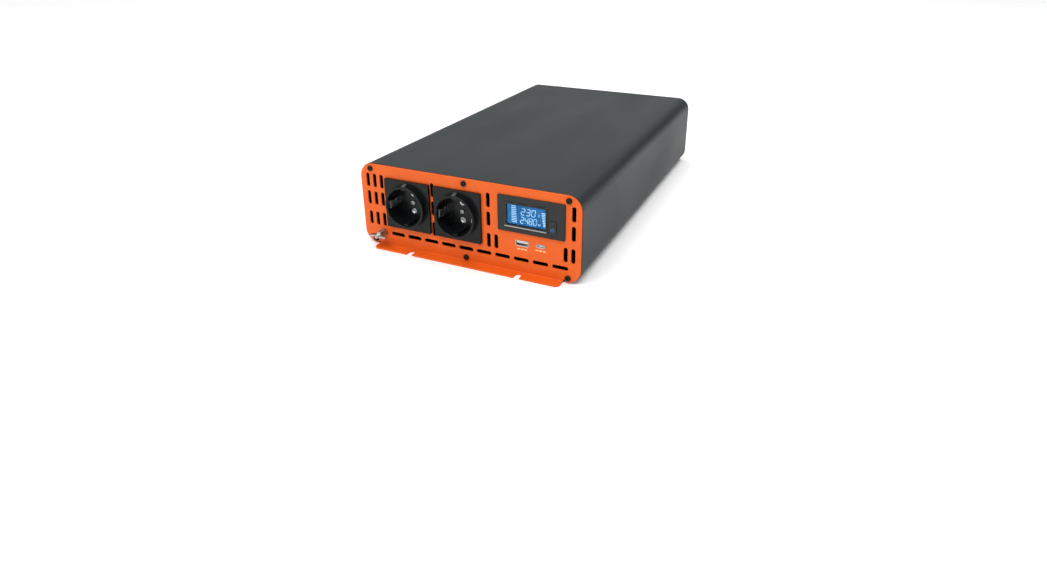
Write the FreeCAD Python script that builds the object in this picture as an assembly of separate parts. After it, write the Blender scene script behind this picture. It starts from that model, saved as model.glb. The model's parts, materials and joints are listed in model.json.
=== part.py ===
"""Power inverter of the 3 kW class, as an assembly of separate pieces.

Units are millimetres. +X is to the right when looking at the AC panel, the AC
panel faces -Y, the DC panel faces +Y and +Z is up. The origin is the middle of
the underside, on the plane that the inverter stands on.

Everything on the DC panel is drawn as if it were on the AC panel, facing -Y,
and is then turned half a turn about Z by to_rear().
"""
import FreeCAD, Part
import math
import os

V = FreeCAD.Vector

# ---------------------------------------------------------------- housing
WIDTH = 242.0
HEIGHT = 88.0
LENGTH = 412.0
CORNER_R = 15.0
WALL = 2.5
PLATE_T = 1.5
PANEL_INSET = 0.5               # of a panel's outline from the housing's
FACE = -LENGTH / 2.0            # outer face of a panel that faces -Y
BACK = FACE + PLATE_T           # inner face of the same panel
MID_Z = HEIGHT / 2.0
PORT_R = 4.0                    # extruded screw ports along the housing
PORT_BORE_R = 1.75
PORT_INSET = 5.4
PORT_CORNER_X = 108.0
RAIL_TIP_X = 112.5              # the board slides between two ribs each side
RAIL_ROOT_X = 119.0
RAIL_T = 1.8
RAIL_GAP = 0.1

# ---------------------------------------------------------------- panels
FLANGE_OUT = 12.0
FLANGE_HALF = 103.0
FLANGE_RELIEF = 2.5
FLANGE_CHAMFER = 3.0
BEND_R = 0.8
FOLD_TOP = 3.0
NOTCH_X = 60.0
NOTCH_W = 6.5
NOTCH_DEPTH = 8.0
SCREW_HOLE_R = 2.1
SCREW_SHANK_R = 1.7
SCREW_HEAD_R = 2.9
SCREW_HEAD_H = 2.0
SCREW_LENGTH = 12.0
VENT_W = 4.2
VENT_L = 15.0
VENT_ROWS = (28.6, 50.9, 70.0)
VENT_COLUMNS_FULL = (-112.0, -103.8, -95.6, -36.0, 25.6, 112.9)
VENT_COLUMNS_LOW = (33.6, 105.3)
FIT_GAP = 0.2                   # round each insert in its hole in a panel
BOTTOM_VENT_Z = 14.7
BOTTOM_VENT_L = 16.2
BOTTOM_VENT_W = 4.2
BOTTOM_VENT_PITCH = 20.0
BOTTOM_VENT_FIRST_X = -80.0
BOTTOM_VENT_COUNT = 10

# ---------------------------------------------------------------- sockets
SOCKET_CENTRES = {"left": -64.5, "right": -7.5}
SOCKET_Z = 49.5
SOCKET_PLATE = 52.0
SOCKET_PLATE_T = 3.0
SOCKET_PLATE_R = 1.2
SOCKET_PLATE_ROUND = 0.6
COLLAR_R = 22.2
COLLAR_H = 6.0
COLLAR_ROUND = 0.8
GUSSET_W = 5.0                  # the rib that stiffens the collar, above and below
GUSSET_OUT = 1.6                # how far it stands out of the collar at the plate
RECESS_R = 19.75
RECESS_DEPTH = 17.5
RECESS_ROUND = 0.8
CUP_R = 22.2
CUP_FLOOR_T = 2.6
CUP_HOLE_R = 22.6
PIN_PITCH = 19.0
PIN_HOLE_R = 3.2
SLEEVE_OUT_R = 3.0
SLEEVE_IN_R = 2.45
SLEEVE_L = 16.3
SLEEVE_SUNK = 0.5               # behind the floor of the recess
GUIDE_W = 5.0
GUIDE_H = 1.8
GUIDE_START = 2.0               # behind the collar's front
CONTACT_T = 0.8                 # sheet that the contacts' tabs are made of
TAB_W = 4.0
TAB_OUT = 7.0                   # how far the tabs stand out of the back cover
EARTH_W = 8.0
EARTH_T = 0.8
EARTH_REACH = 18.4              # from the socket's axis to a spring arm
EARTH_SLOT_W = 1.6
BACK_COVER_L = 22.0
BACK_COVER_T = 1.8
COVER_POST_R = 3.2
COVER_SCREW_HEAD_R = 2.4
COVER_SCREW_HEAD_H = 1.2
COVER_SCREW_R = 1.4
COVER_SCREW_L = 12.0

# ---------------------------------------------------------------- display
BEZEL_X = 70.6
BEZEL_Z = 60.6
BEZEL_W = 68.5
BEZEL_H = 36.0
BEZEL_PROUD = 2.0
BEZEL_SEAT = 0.6                # how far the front wall reaches past the panel face
BEZEL_RIM_W = 64.5
BEZEL_RIM_H = 32.0
BEZEL_RIM_T = 1.2
BEZEL_RIM_L = 9.0
BEZEL_RIM_ROUND = 1.5
BEZEL_R = 1.2
BEZEL_ROUND = 0.9
PANE_X = 65.4
PANE_Z = 60.6
PANE_W = 44.0
PANE_H = 24.3
PANE_T = 1.6
PANE_PROUD = 0.4
LCD_X = 66.1
LCD_Z = 60.8
LCD_W = 39.7
LCD_H = 20.4
LCD_BORDER = 1.6
BOARD_T = 1.6
DISPLAY_BOARD_Y = FACE + 7.0
BUTTON_X = 93.0
BUTTON_Z = 53.8
BUTTON_W = 8.0
BUTTON_H = 14.0
BUTTON_GAP = 0.3
BUTTON_PROUD = 0.6
BUTTON_TRAVEL = 1.0
BUTTON_ROUND = 2.0
LIP_OUT = 0.6                   # the lip that keeps the button in
SWITCH_SIZE = 6.0
SWITCH_BODY = 1.4
SWITCH_PLUNGER = 0.4

# ---------------------------------------------------------------- USB ports
USB_A_X = 61.2
USB_A_Z = 31.9
USB_A_W = 13.1
USB_A_H = 5.7
USB_C_X = 80.3
USB_C_Z = 32.5
USB_C_W = 8.94
USB_C_H = 3.26
USB_PROUD = 0.4
USB_DEPTH = 15.5
USB_WALL = 0.4
USB_A_ROUND = 0.6
USB_C_ROUND = 1.6
USB_BOARD_XS = (50.0, 92.0)
USB_BOARD_ZS = (21.0, 42.0)

# ---------------------------------------------------------------- earth stud
EARTH_STUD_X = -97.0
EARTH_STUD_Z = 14.5
STUD_R = 2.0
STUD_OUT = 15.0
STUD_GAP = 0.1                  # to the panel's hole
NUT_FLATS = 7.0
LOCK_NUT_H = 3.2
WASHER_T = 0.7
WING_HUB_H = 4.6
WING_H = 9.0

# ---------------------------------------------------------------- fans
FAN_U = 61.0
FAN_SIZE = 80.0
FAN_DEPTH = 25.0
FAN_HOLE_PITCH = 71.5
FAN_BORE_R = 38.0
FAN_FLANGE_T = 4.0
FAN_OPENING = 75.0
FAN_OPENING_CHAMFER = 18.5
FAN_BLADES = 7
FAN_TIP_R = 36.8
FAN_CUP_R = 18.0
FAN_CUP_T = 1.5
FAN_SHAFT_R = 1.5
FAN_BEARING_GAP = 0.05
FAN_DUCT_T = 1.8
MOTOR_SEAT_R = 17.0
MOTOR_TUBE_R = 4.5
MOTOR_TUBE_L = 16.0
STATOR_R = 14.5
STRUT_W = 3.2
IMPELLER_FRONT = 3.0            # behind the panel
IMPELLER_REAR = 4.0             # short of the fan's far end
SHAFT_START = 4.5
GUARD_EYE_R = 3.0
GUARD_RINGS = (8.3, 15.0, 21.6, 28.2, 34.8)
GUARD_WIRE_R = 0.55
GUARD_SPOKE_Y = FACE - GUARD_WIRE_R
GUARD_RING_Y = GUARD_SPOKE_Y - 2 * GUARD_WIRE_R + 0.1
FAN_SCREW_HEAD_R = 3.85
FAN_SCREW_HEAD_H = 2.4
FAN_SCREW_SHANK_R = 1.95

# ---------------------------------------------------------------- DC terminals
DC_BORE_R = 4.6
DC_BORE_DEPTH = 20.0
DC_BLOCK_FRONT = 25.0
DC_BLOCK_SEAT = 3.0
DC_BLOCK_HALF = 7.5
DC_TAIL_HALF = 6.0
DC_TAIL_T = 3.0
DC_TAIL_IN = 30.0
DC_BOSS_HALF = 9.0
DC_BOSS_HALF_H = 9.6
DC_BASE_T = 6.0
DC_BASE_HALF = 16.0
CLAMP_SCREW_R = 3.0
CLAMP_SCREW_Y = FACE - DC_BLOCK_FRONT / 2.0 - 1.0
COVER_WALL = 2.0
COVER_GAP = 0.3
POSITIVE_Z = 59.2
POSITIVE_COVER = {"half": 11.5, "bottom": 44.8, "top": 75.0, "depth": 31.0}
NEGATIVE_Z = 27.2
NEGATIVE_COVER = {"half": 13.5, "bottom": 12.8, "top": 40.6, "depth": 29.0}

# ---------------------------------------------------------------- inside
BOARD_Z = 12.0
BOARD_TOP = BOARD_Z + BOARD_T
BOARD_HALF_W = 115.5
BOARD_FRONT_Y = -150.0
BOARD_REAR_Y = 170.0
SINK_X = 84.0
SINK_T = 4.0
SINK_YS = (-100.0, 140.0)
SINK_TOP = 78.0
FIN_COUNT = 7
FIN_FIRST_Z = 20.0
FIN_PITCH = 9.0
FIN_T = 1.6
FIN_TIP_X = 108.0
TRANSISTORS = 8                 # on each side
TRANSISTOR_FIRST_Y = -84.0
TRANSISTOR_PITCH = 29.0
TRANSISTOR_W = 16.0
TRANSISTOR_T = 5.0
TRANSISTOR_ZS = (22.0, 42.0)
LEG_PITCH = 5.4
LEG_W = 1.4
CORE_W = 52.0
CORE_D = 22.0
CORE_H = 54.0
WINDOW_XS = (7.5, 17.0)         # from the middle of a core
WINDOW_ZS = (9.0, 45.0)         # above the board
CHOKE_X = 48.0
CHOKE_Y = -65.0
CHOKE_MIDDLE_R = 20.0
CHOKE_HALF = 6.0                # half the ring's radial thickness
CHOKE_LOW = 6.0                 # above the board
CHOKE_H = 14.0
CHOKE_TURNS = 24
CHOKE_WIRE = 1.5
BAR_T = 3.0
CONTROL_Y = -126.0


# ================================================================ helpers
def block(xs, ys, zs):
    """A box between pairs of coordinates, in any order."""
    low = V(min(xs), min(ys), min(zs))
    return Part.makeBox(abs(xs[1] - xs[0]), abs(ys[1] - ys[0]), abs(zs[1] - zs[0]), low)


def centred(x, z, width, height, ys):
    """A box centred on x and z, between two values of y."""
    return block((x - width / 2.0, x + width / 2.0), ys, (z - height / 2.0, z + height / 2.0))


def rod(x, z, radius, ys):
    """A cylinder along Y."""
    return Part.makeCylinder(radius, abs(ys[1] - ys[0]), V(x, min(ys), z), V(0, 1, 0))


def post(x, y, radius, zs):
    """A cylinder along Z."""
    return Part.makeCylinder(radius, abs(zs[1] - zs[0]), V(x, y, min(zs)), V(0, 0, 1))


def rounded_face(x, z, width, height, radius, y):
    """A rectangle with rounded corners, in the XZ plane at y."""
    inner_x = width / 2.0 - radius
    inner_z = height / 2.0 - radius
    corners = []
    for quarter in range(4):
        start = math.pi / 2.0 * quarter
        sign_x = 1 if quarter in (0, 3) else -1
        sign_z = 1 if quarter in (0, 1) else -1
        centre = V(x + sign_x * inner_x, y, z + sign_z * inner_z)
        arc = []
        for angle in (start, start + math.pi / 4.0, start + math.pi / 2.0):
            arc.append(centre + V(radius * math.cos(angle), 0, radius * math.sin(angle)))
        corners.append(arc)
    edges = []
    for index, arc in enumerate(corners):
        edges.append(Part.Arc(*arc).toShape())
        following = corners[(index + 1) % 4][0]
        if (following - arc[2]).Length > 1e-6:
            edges.append(Part.makeLine(arc[2], following))
    return Part.Face(Part.Wire(edges))


def rounded(x, z, width, height, radius, ys):
    """A block along Y whose four long edges are rounded."""
    face = rounded_face(x, z, width, height, radius, min(ys))
    return face.extrude(V(0, abs(ys[1] - ys[0]), 0))


def prism(points, direction):
    """A straight prism on a closed polygon."""
    return Part.Face(Part.makePolygon(points + [points[0]])).extrude(direction)


def hexagon(x, z, across_flats, ys):
    """A hexagonal prism along Y."""
    radius = across_flats / math.sqrt(3.0)
    points = []
    for index in range(6):
        angle = math.radians(60.0 * index)
        points.append(V(x + radius * math.cos(angle), min(ys), z + radius * math.sin(angle)))
    return prism(points, V(0, abs(ys[1] - ys[0]), 0))


def fused(shapes):
    """One solid from several that overlap or touch."""
    first = shapes[0]
    if len(shapes) > 1:
        first = first.fuse(shapes[1:])
    return first.removeSplitter()


def moved(shape, x, y, z):
    copy = shape.copy()
    copy.translate(V(x, y, z))
    return copy


def to_rear(shape):
    """Half a turn about Z, from the AC end to the DC end."""
    copy = shape.copy()
    copy.rotate(V(0, 0, 0), V(0, 0, 1), 180.0)
    return copy


def fillet_edges(shape, radius, wanted):
    """Round the edges that wanted(edge) picks."""
    return shape.makeFillet(radius, [edge for edge in shape.Edges if wanted(edge)])


def lies_at_y(y):
    """Picks edges that lie in the plane at y."""
    def wanted(edge):
        box = edge.BoundBox
        return abs(box.YMin - y) < 1e-4 and abs(box.YMax - y) < 1e-4
    return wanted


def wire_path(points, bend_r):
    """Straight runs joined by tangent arcs of one radius."""
    edges = []
    start = points[0]
    for index in range(1, len(points) - 1):
        corner = points[index]
        toward = (points[index - 1] - corner).normalize()
        away = (points[index + 1] - corner).normalize()
        half = math.acos(max(-1.0, min(1.0, toward.dot(away)))) / 2.0
        reach = bend_r / math.tan(half)
        middle = (toward + away).normalize() * (bend_r / math.sin(half) - bend_r)
        entry = corner + toward * reach
        leave = corner + away * reach
        edges.append(Part.makeLine(start, entry))
        edges.append(Part.Arc(entry, corner + middle, leave).toShape())
        start = leave
    edges.append(Part.makeLine(start, points[-1]))
    return Part.Wire(edges)


def wire_tube(points, bend_r, radius):
    """A round wire along wire_path()."""
    path = wire_path(points, bend_r)
    direction = (points[1] - points[0]).normalize()
    section = Part.Wire([Part.makeCircle(radius, points[0], direction)])
    return path.makePipeShell([section], True, False)


def pan_screw(x, z, seat_y, head_r, head_h, shank_r, length):
    """A pan-head screw with a cross recess; its head stands out towards -Y."""
    top = seat_y - head_h
    head = rod(x, z, head_r, (top, seat_y))
    head = fillet_edges(head, head_h * 0.6, lies_at_y(top))
    recess = head_r * 0.55
    slot_w = head_r * 0.15
    for half_x, half_z in ((recess, slot_w), (slot_w, recess)):
        head = head.cut(block((x - half_x, x + half_x), (top, top + head_h * 0.5),
                              (z - half_z, z + half_z)))
    return fused([head, rod(x, z, shank_r, (seat_y, seat_y + length))])


def port_positions():
    """The six screw ports of the housing, as x and z."""
    places = []
    for z in (PORT_INSET, HEIGHT - PORT_INSET):
        for x in (-PORT_CORNER_X, 0.0, PORT_CORNER_X):
            places.append((x, z))
    return places


# ================================================================ housing
def housing_shell():
    """An extruded tube with screw ports and board rails on its inside."""
    ends = (BACK, -BACK)
    outside = rounded(0, MID_Z, WIDTH, HEIGHT, CORNER_R, ends)
    inside = rounded(0, MID_Z, WIDTH - 2 * WALL, HEIGHT - 2 * WALL, CORNER_R - WALL, ends)
    extras = []
    for x, z in port_positions():
        extras.append(rod(x, z, PORT_R, ends))
    for side in (-1, 1):
        xs = (side * RAIL_TIP_X, side * RAIL_ROOT_X)
        extras.append(block(xs, ends, (BOARD_Z - RAIL_GAP - RAIL_T, BOARD_Z - RAIL_GAP)))
        extras.append(block(xs, ends, (BOARD_TOP + RAIL_GAP, BOARD_TOP + RAIL_GAP + RAIL_T)))
    shell = outside.cut(inside).fuse([piece.common(outside) for piece in extras])
    for x, z in port_positions():
        shell = shell.cut(rod(x, z, PORT_BORE_R, ends))
    return shell.removeSplitter()


def flange_profile():
    """The fold at the foot of a panel, as a face in the YZ plane."""
    centre_y = FACE - BEND_R
    centre_z = PLATE_T + BEND_R
    outer_r = BEND_R + PLATE_T
    half = math.sqrt(0.5)
    x = -FLANGE_HALF
    tip_y = FACE - FLANGE_OUT
    outer = Part.Arc(V(x, BACK, centre_z),
                     V(x, centre_y + outer_r * half, centre_z - outer_r * half),
                     V(x, centre_y, 0))
    inner = Part.Arc(V(x, centre_y, PLATE_T),
                     V(x, centre_y + BEND_R * half, centre_z - BEND_R * half),
                     V(x, FACE, centre_z))
    edges = [
        Part.makeLine(V(x, BACK, FOLD_TOP), V(x, BACK, centre_z)),
        outer.toShape(),
        Part.makeLine(V(x, centre_y, 0), V(x, tip_y, 0)),
        Part.makeLine(V(x, tip_y, 0), V(x, tip_y, PLATE_T)),
        Part.makeLine(V(x, tip_y, PLATE_T), V(x, centre_y, PLATE_T)),
        inner.toShape(),
        Part.makeLine(V(x, FACE, centre_z), V(x, FACE, FOLD_TOP)),
        Part.makeLine(V(x, FACE, FOLD_TOP), V(x, BACK, FOLD_TOP)),
    ]
    return Part.Face(Part.Wire(edges))


def panel_blank():
    """A panel with its screw holes and folded mounting flange."""
    plate = rounded(0, MID_Z, WIDTH - 2 * PANEL_INSET, HEIGHT - 2 * PANEL_INSET,
                    CORNER_R - PANEL_INSET, (FACE, BACK))
    cleared = FLANGE_HALF + FLANGE_RELIEF
    plate = plate.cut(block((-cleared, cleared), (FACE - 1, BACK + 1), (-1, FOLD_TOP)))
    flange = flange_profile().extrude(V(2 * FLANGE_HALF, 0, 0))
    tip_y = FACE - FLANGE_OUT
    for side in (-1, 1):
        corner = [V(side * FLANGE_HALF, tip_y, -1),
                  V(side * (FLANGE_HALF - FLANGE_CHAMFER), tip_y, -1),
                  V(side * FLANGE_HALF, tip_y + FLANGE_CHAMFER, -1)]
        flange = flange.cut(prism(corner, V(0, 0, PLATE_T + 2)))
        end_y = tip_y + NOTCH_DEPTH - NOTCH_W / 2.0
        x = side * NOTCH_X
        notch = post(x, end_y, NOTCH_W / 2.0, (-1, PLATE_T + 1)).fuse(
            block((x - NOTCH_W / 2.0, x + NOTCH_W / 2.0), (tip_y - 1, end_y), (-1, PLATE_T + 1)))
        flange = flange.cut(notch)
    panel = plate.fuse(flange)
    for x, z in port_positions():
        panel = panel.cut(rod(x, z, SCREW_HOLE_R, (FACE - 1, BACK + 1)))
    return panel.removeSplitter()


def vent_cutters():
    """The ventilation slots of the AC panel."""
    through = (FACE - 1, BACK + 1)
    cutters = []
    for x in VENT_COLUMNS_FULL:
        for z in VENT_ROWS:
            cutters.append(rounded(x, z, VENT_W, VENT_L, VENT_W / 2.0, through))
    for x in VENT_COLUMNS_LOW:
        cutters.append(rounded(x, VENT_ROWS[0], VENT_W, VENT_L, VENT_W / 2.0, through))
    for index in range(BOTTOM_VENT_COUNT):
        x = BOTTOM_VENT_FIRST_X + index * BOTTOM_VENT_PITCH
        cutters.append(rounded(x, BOTTOM_VENT_Z, BOTTOM_VENT_L, BOTTOM_VENT_W,
                               BOTTOM_VENT_W / 2.0, through))
    return cutters


def front_panel():
    """The AC panel: sockets, display, USB ports, earth stud and vents."""
    through = (FACE - 1, BACK + 1)
    cutters = vent_cutters()
    for x in SOCKET_CENTRES.values():
        cutters.append(rod(x, SOCKET_Z, CUP_HOLE_R, through))
    cutters.append(rounded(BEZEL_X, BEZEL_Z, BEZEL_RIM_W + 2 * FIT_GAP,
                            BEZEL_RIM_H + 2 * FIT_GAP, BEZEL_RIM_ROUND, through))
    cutters.append(rounded(USB_A_X, USB_A_Z, USB_A_W + 2 * FIT_GAP, USB_A_H + 2 * FIT_GAP,
                            USB_A_ROUND, through))
    cutters.append(rounded(USB_C_X, USB_C_Z, USB_C_W + 2 * FIT_GAP, USB_C_H + 2 * FIT_GAP,
                            USB_C_ROUND, through))
    cutters.append(rod(EARTH_STUD_X, EARTH_STUD_Z, STUD_R + STUD_GAP, through))
    return panel_blank().cut(cutters)


def fan_opening(u):
    """The square hole with cut corners in front of a fan."""
    half = FAN_OPENING / 2.0
    inner = half - FAN_OPENING_CHAMFER
    outline = [(half, inner), (inner, half), (-inner, half), (-half, inner),
               (-half, -inner), (-inner, -half), (inner, -half), (half, -inner)]
    points = [V(u + dx, FACE - 1, MID_Z + dz) for dx, dz in outline]
    return prism(points, V(0, PLATE_T + 2, 0))


def rear_panel():
    """The DC panel: two fan openings and two terminal openings."""
    through = (FACE - 1, BACK + 1)
    cutters = [fan_opening(-FAN_U), fan_opening(FAN_U)]
    for u in (-FAN_U, FAN_U):
        for dx, dz in fan_corners():
            cutters.append(rod(u + dx, MID_Z + dz, SCREW_HOLE_R, through))
    for zs in (terminal_boss_span(POSITIVE_Z), terminal_boss_span(NEGATIVE_Z)):
        cutters.append(block((-DC_BOSS_HALF - FIT_GAP, DC_BOSS_HALF + FIT_GAP), through,
                             (zs[0] - FIT_GAP, zs[1] + FIT_GAP)))
    return to_rear(panel_blank().cut(cutters))


def panel_screws():
    screws = []
    for x, z in port_positions():
        screws.append(pan_screw(x, z, FACE, SCREW_HEAD_R, SCREW_HEAD_H, SCREW_SHANK_R,
                                SCREW_LENGTH))
    return screws


# ================================================================ sockets
def collar_front_y():
    return FACE - SOCKET_PLATE_T - COLLAR_H


def recess_floor_y():
    """The floor of the socket's recess, where the pin holes open."""
    return collar_front_y() + RECESS_DEPTH


def cup_end_y():
    """The back of the socket cup's floor."""
    return recess_floor_y() + CUP_FLOOR_T


def tab_end_y():
    """The free end of a contact's tab."""
    return cup_end_y() + BACK_COVER_L + TAB_OUT


def collar_gusset(x, side):
    """A tapered rib on the outside of the collar, above or below it."""
    plate_front = FACE - SOCKET_PLATE_T
    rim = collar_front_y() + COLLAR_ROUND
    outline = [(plate_front, COLLAR_R - 1), (plate_front, COLLAR_R + GUSSET_OUT),
               (rim, COLLAR_R), (rim, COLLAR_R - 1)]
    points = [V(x - GUSSET_W / 2.0, y, SOCKET_Z + side * reach) for y, reach in outline]
    return prism(points, V(GUSSET_W, 0, 0))


def socket_body(x):
    """Face plate, collar and recessed cup of an earthed round-pin socket."""
    plate_front = FACE - SOCKET_PLATE_T
    collar_front = collar_front_y()
    floor_y = recess_floor_y()
    cup_end = cup_end_y()
    plate = rounded(x, SOCKET_Z, SOCKET_PLATE, SOCKET_PLATE, SOCKET_PLATE_R, (plate_front, FACE))
    plate = fillet_edges(plate, SOCKET_PLATE_ROUND, lies_at_y(plate_front))
    collar = rod(x, SOCKET_Z, COLLAR_R, (collar_front, FACE))
    collar = fillet_edges(collar, COLLAR_ROUND, lies_at_y(collar_front))
    gussets = [collar_gusset(x, side) for side in (-1, 1)]
    body = fused([plate, collar, rod(x, SOCKET_Z, CUP_R, (FACE, cup_end))] + gussets)
    body = body.cut(rod(x, SOCKET_Z, RECESS_R, (collar_front - 1, floor_y)))
    body = fillet_edges(body, RECESS_ROUND, lambda edge: lies_at_y(collar_front)(edge)
                        and edge.BoundBox.XLength < 2 * RECESS_R + 0.1)
    through = (floor_y - 1, cup_end + 1)
    for side in (-1, 1):
        rib = block((x - GUIDE_W / 2.0, x + GUIDE_W / 2.0), (collar_front + GUIDE_START, floor_y),
                    (SOCKET_Z + side * (RECESS_R - GUIDE_H), SOCKET_Z + side * (RECESS_R + 0.8)))
        body = body.fuse(rib)
        body = body.cut(rod(x, SOCKET_Z + side * PIN_PITCH / 2.0, PIN_HOLE_R, through))
        body = body.cut(centred(x + side * EARTH_REACH, SOCKET_Z, EARTH_SLOT_W, EARTH_W + 0.6,
                                through))
    return body.cut(rod(x, SOCKET_Z, COVER_SCREW_R + 0.2, through)).removeSplitter()


def socket_back_cover(x):
    """The cap that closes the back of a socket, with a post for its screw."""
    start = cup_end_y()
    end = start + BACK_COVER_L
    cover = rod(x, SOCKET_Z, CUP_R, (start, end))
    cover = fillet_edges(cover, 2.0, lies_at_y(end))
    cover = cover.cut(rod(x, SOCKET_Z, CUP_R - BACK_COVER_T, (start, end - BACK_COVER_T)))
    post_start = earth_bridge_y() + EARTH_T / 2.0 + 0.1
    cover = cover.fuse(rod(x, SOCKET_Z, COVER_POST_R, (post_start, end - BACK_COVER_T)))
    cover = cover.cut(rod(x, SOCKET_Z, COVER_SCREW_R + 0.05, (start, post_start + 10.0)))
    for side in (-1, 1):
        cover = cover.cut(centred(x, SOCKET_Z + side * PIN_PITCH / 2.0, TAB_W + 1.0, CONTACT_T + 1.2,
                                  (end - BACK_COVER_T - 1, end + 1)))
    return cover.removeSplitter()


def socket_screws():
    """The screw in the middle of each recess, which holds the back cover."""
    screws = []
    for x in SOCKET_CENTRES.values():
        screws.append(pan_screw(x, SOCKET_Z, recess_floor_y(), COVER_SCREW_HEAD_R,
                                COVER_SCREW_HEAD_H, COVER_SCREW_R, COVER_SCREW_L))
    return screws


def pin_contacts(x):
    """Two split plated sleeves, each with a tab that leaves through the back cover."""
    start = recess_floor_y() + SLEEVE_SUNK
    end = start + SLEEVE_L
    contacts = []
    for side in (-1, 1):
        z = SOCKET_Z + side * PIN_PITCH / 2.0
        sleeve = rod(x, z, SLEEVE_OUT_R, (start, end))
        sleeve = sleeve.cut(rod(x, z, SLEEVE_IN_R, (start, end - 1.5)))
        sleeve = sleeve.cut(centred(x, z, 2 * SLEEVE_OUT_R + 1, CONTACT_T, (start, end - 4.0)))
        contacts.append(fused([sleeve, centred(x, z, TAB_W, CONTACT_T, (end, tab_end_y()))]))
    return contacts


def earth_bridge_y():
    """The strip that joins the two earth arms, behind the cup's floor."""
    return cup_end_y() + 1.3


def earth_clips(x):
    """One sprung strip with an arm up each side of the recess."""
    bridge_y = earth_bridge_y()
    back = cup_end_y()
    line = [(EARTH_REACH, bridge_y), (EARTH_REACH, back - 6.5), (EARTH_REACH - 1.8, back - 12.0),
            (EARTH_REACH - 0.2, back - 16.5)]
    arms = []
    for side in (-1, 1):
        outer = [V(x + side * (reach + EARTH_T / 2), y, SOCKET_Z - EARTH_W / 2)
                 for reach, y in line]
        inner = [V(x + side * (reach - EARTH_T / 2), y, SOCKET_Z - EARTH_W / 2)
                 for reach, y in reversed(line)]
        arms.append(prism(outer + inner, V(0, 0, EARTH_W)))
    bridge = centred(x, SOCKET_Z, 2 * EARTH_REACH + EARTH_T, EARTH_W,
                     (bridge_y - EARTH_T / 2, bridge_y + EARTH_T / 2))
    bridge = bridge.cut(rod(x, SOCKET_Z, COVER_SCREW_R + 0.2, (bridge_y - 1, bridge_y + 1)))
    return fused(arms + [bridge])


# ================================================================ display module
def display_bezel():
    """The black frame, with a pocket for the pane and a hole for the button."""
    front = FACE - BEZEL_PROUD
    seat = FACE + BEZEL_SEAT
    flange = rounded(BEZEL_X, BEZEL_Z, BEZEL_W, BEZEL_H, BEZEL_R, (front, FACE))
    flange = fillet_edges(flange, BEZEL_ROUND, lies_at_y(front))
    rim = rounded(BEZEL_X, BEZEL_Z, BEZEL_RIM_W, BEZEL_RIM_H, BEZEL_RIM_ROUND,
                  (FACE, FACE + BEZEL_RIM_L))
    inside = rounded(BEZEL_X, BEZEL_Z, BEZEL_RIM_W - 2 * BEZEL_RIM_T,
                     BEZEL_RIM_H - 2 * BEZEL_RIM_T, 0.5, (seat, FACE + BEZEL_RIM_L + 1))
    bezel = fused([flange, rim.cut(inside)])
    pocket = rounded(PANE_X, PANE_Z, PANE_W + 0.4, PANE_H + 0.4, 0.8,
                     (front - 1, front - PANE_PROUD + PANE_T))
    window = rounded(LCD_X, LCD_Z, LCD_W + 0.4, LCD_H + 0.4, 0.4, (front - 1, seat + 1))
    button_hole = rounded(BUTTON_X, BUTTON_Z, BUTTON_W + 2 * BUTTON_GAP, BUTTON_H + 2 * BUTTON_GAP,
                          BUTTON_ROUND + BUTTON_GAP, (front - 1, seat + 1))
    return bezel.cut([pocket, window, button_hole]).removeSplitter()


def display_window():
    """The clear pane over the display, with a bevel round its front."""
    front = FACE - BEZEL_PROUD - PANE_PROUD
    pane = rounded(PANE_X, PANE_Z, PANE_W, PANE_H, 0.6, (front, front + PANE_T))
    edges = [edge for edge in pane.Edges if lies_at_y(front)(edge)]
    return pane.makeChamfer(0.35, edges)


def lcd_module():
    """The display glass and the backlight block behind it."""
    seat = FACE + BEZEL_SEAT
    glass = centred(LCD_X, LCD_Z, LCD_W + 2 * LCD_BORDER, LCD_H + 2 * LCD_BORDER,
                    (seat, seat + 1.4))
    light = centred(LCD_X, LCD_Z, LCD_W + 1.0, LCD_H + 1.0, (seat + 1.4, DISPLAY_BOARD_Y))
    return fused([glass, light])


def display_board():
    """The board behind the display, with a ribbon socket at its back."""
    y = DISPLAY_BOARD_Y
    board = centred(BEZEL_X, BEZEL_Z, BEZEL_RIM_W - 2 * BEZEL_RIM_T - 0.6,
                    BEZEL_RIM_H - 2 * BEZEL_RIM_T - 0.6, (y, y + BOARD_T))
    ribbon_socket = centred(BEZEL_X - 12, BEZEL_Z, 16.0, 5.0, (y + BOARD_T, y + BOARD_T + 6.0))
    chip = centred(BEZEL_X + 10, BEZEL_Z, 9.0, 9.0, (y + BOARD_T, y + BOARD_T + 1.6))
    return fused([board, ribbon_socket, chip])


def power_button():
    """The key: a cap in the bezel, a lip that keeps it in, and a plunger."""
    front = FACE - BEZEL_PROUD - BUTTON_PROUD
    lip_y = FACE + BEZEL_SEAT + BUTTON_GAP
    lip_end = lip_y + LIP_OUT
    cap = rounded(BUTTON_X, BUTTON_Z, BUTTON_W, BUTTON_H, BUTTON_ROUND, (front, lip_y))
    cap = fillet_edges(cap, 0.5, lies_at_y(front))
    lip = rounded(BUTTON_X, BUTTON_Z, BUTTON_W + 2 * LIP_OUT, BUTTON_H + 2 * LIP_OUT, BUTTON_ROUND,
                  (lip_y, lip_end))
    plunger = rod(BUTTON_X, BUTTON_Z, 2.0,
                  (lip_end, power_switch_top() - BUTTON_TRAVEL - BUTTON_GAP))
    return fused([cap, lip, plunger])


def power_switch_top():
    return DISPLAY_BOARD_Y - SWITCH_BODY - SWITCH_PLUNGER


def power_switch():
    """The tact switch that the button presses."""
    front = DISPLAY_BOARD_Y - SWITCH_BODY
    body = centred(BUTTON_X, BUTTON_Z, SWITCH_SIZE, SWITCH_SIZE, (front, DISPLAY_BOARD_Y))
    return fused([body, rod(BUTTON_X, BUTTON_Z, 1.75, (power_switch_top(), front))])


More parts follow.
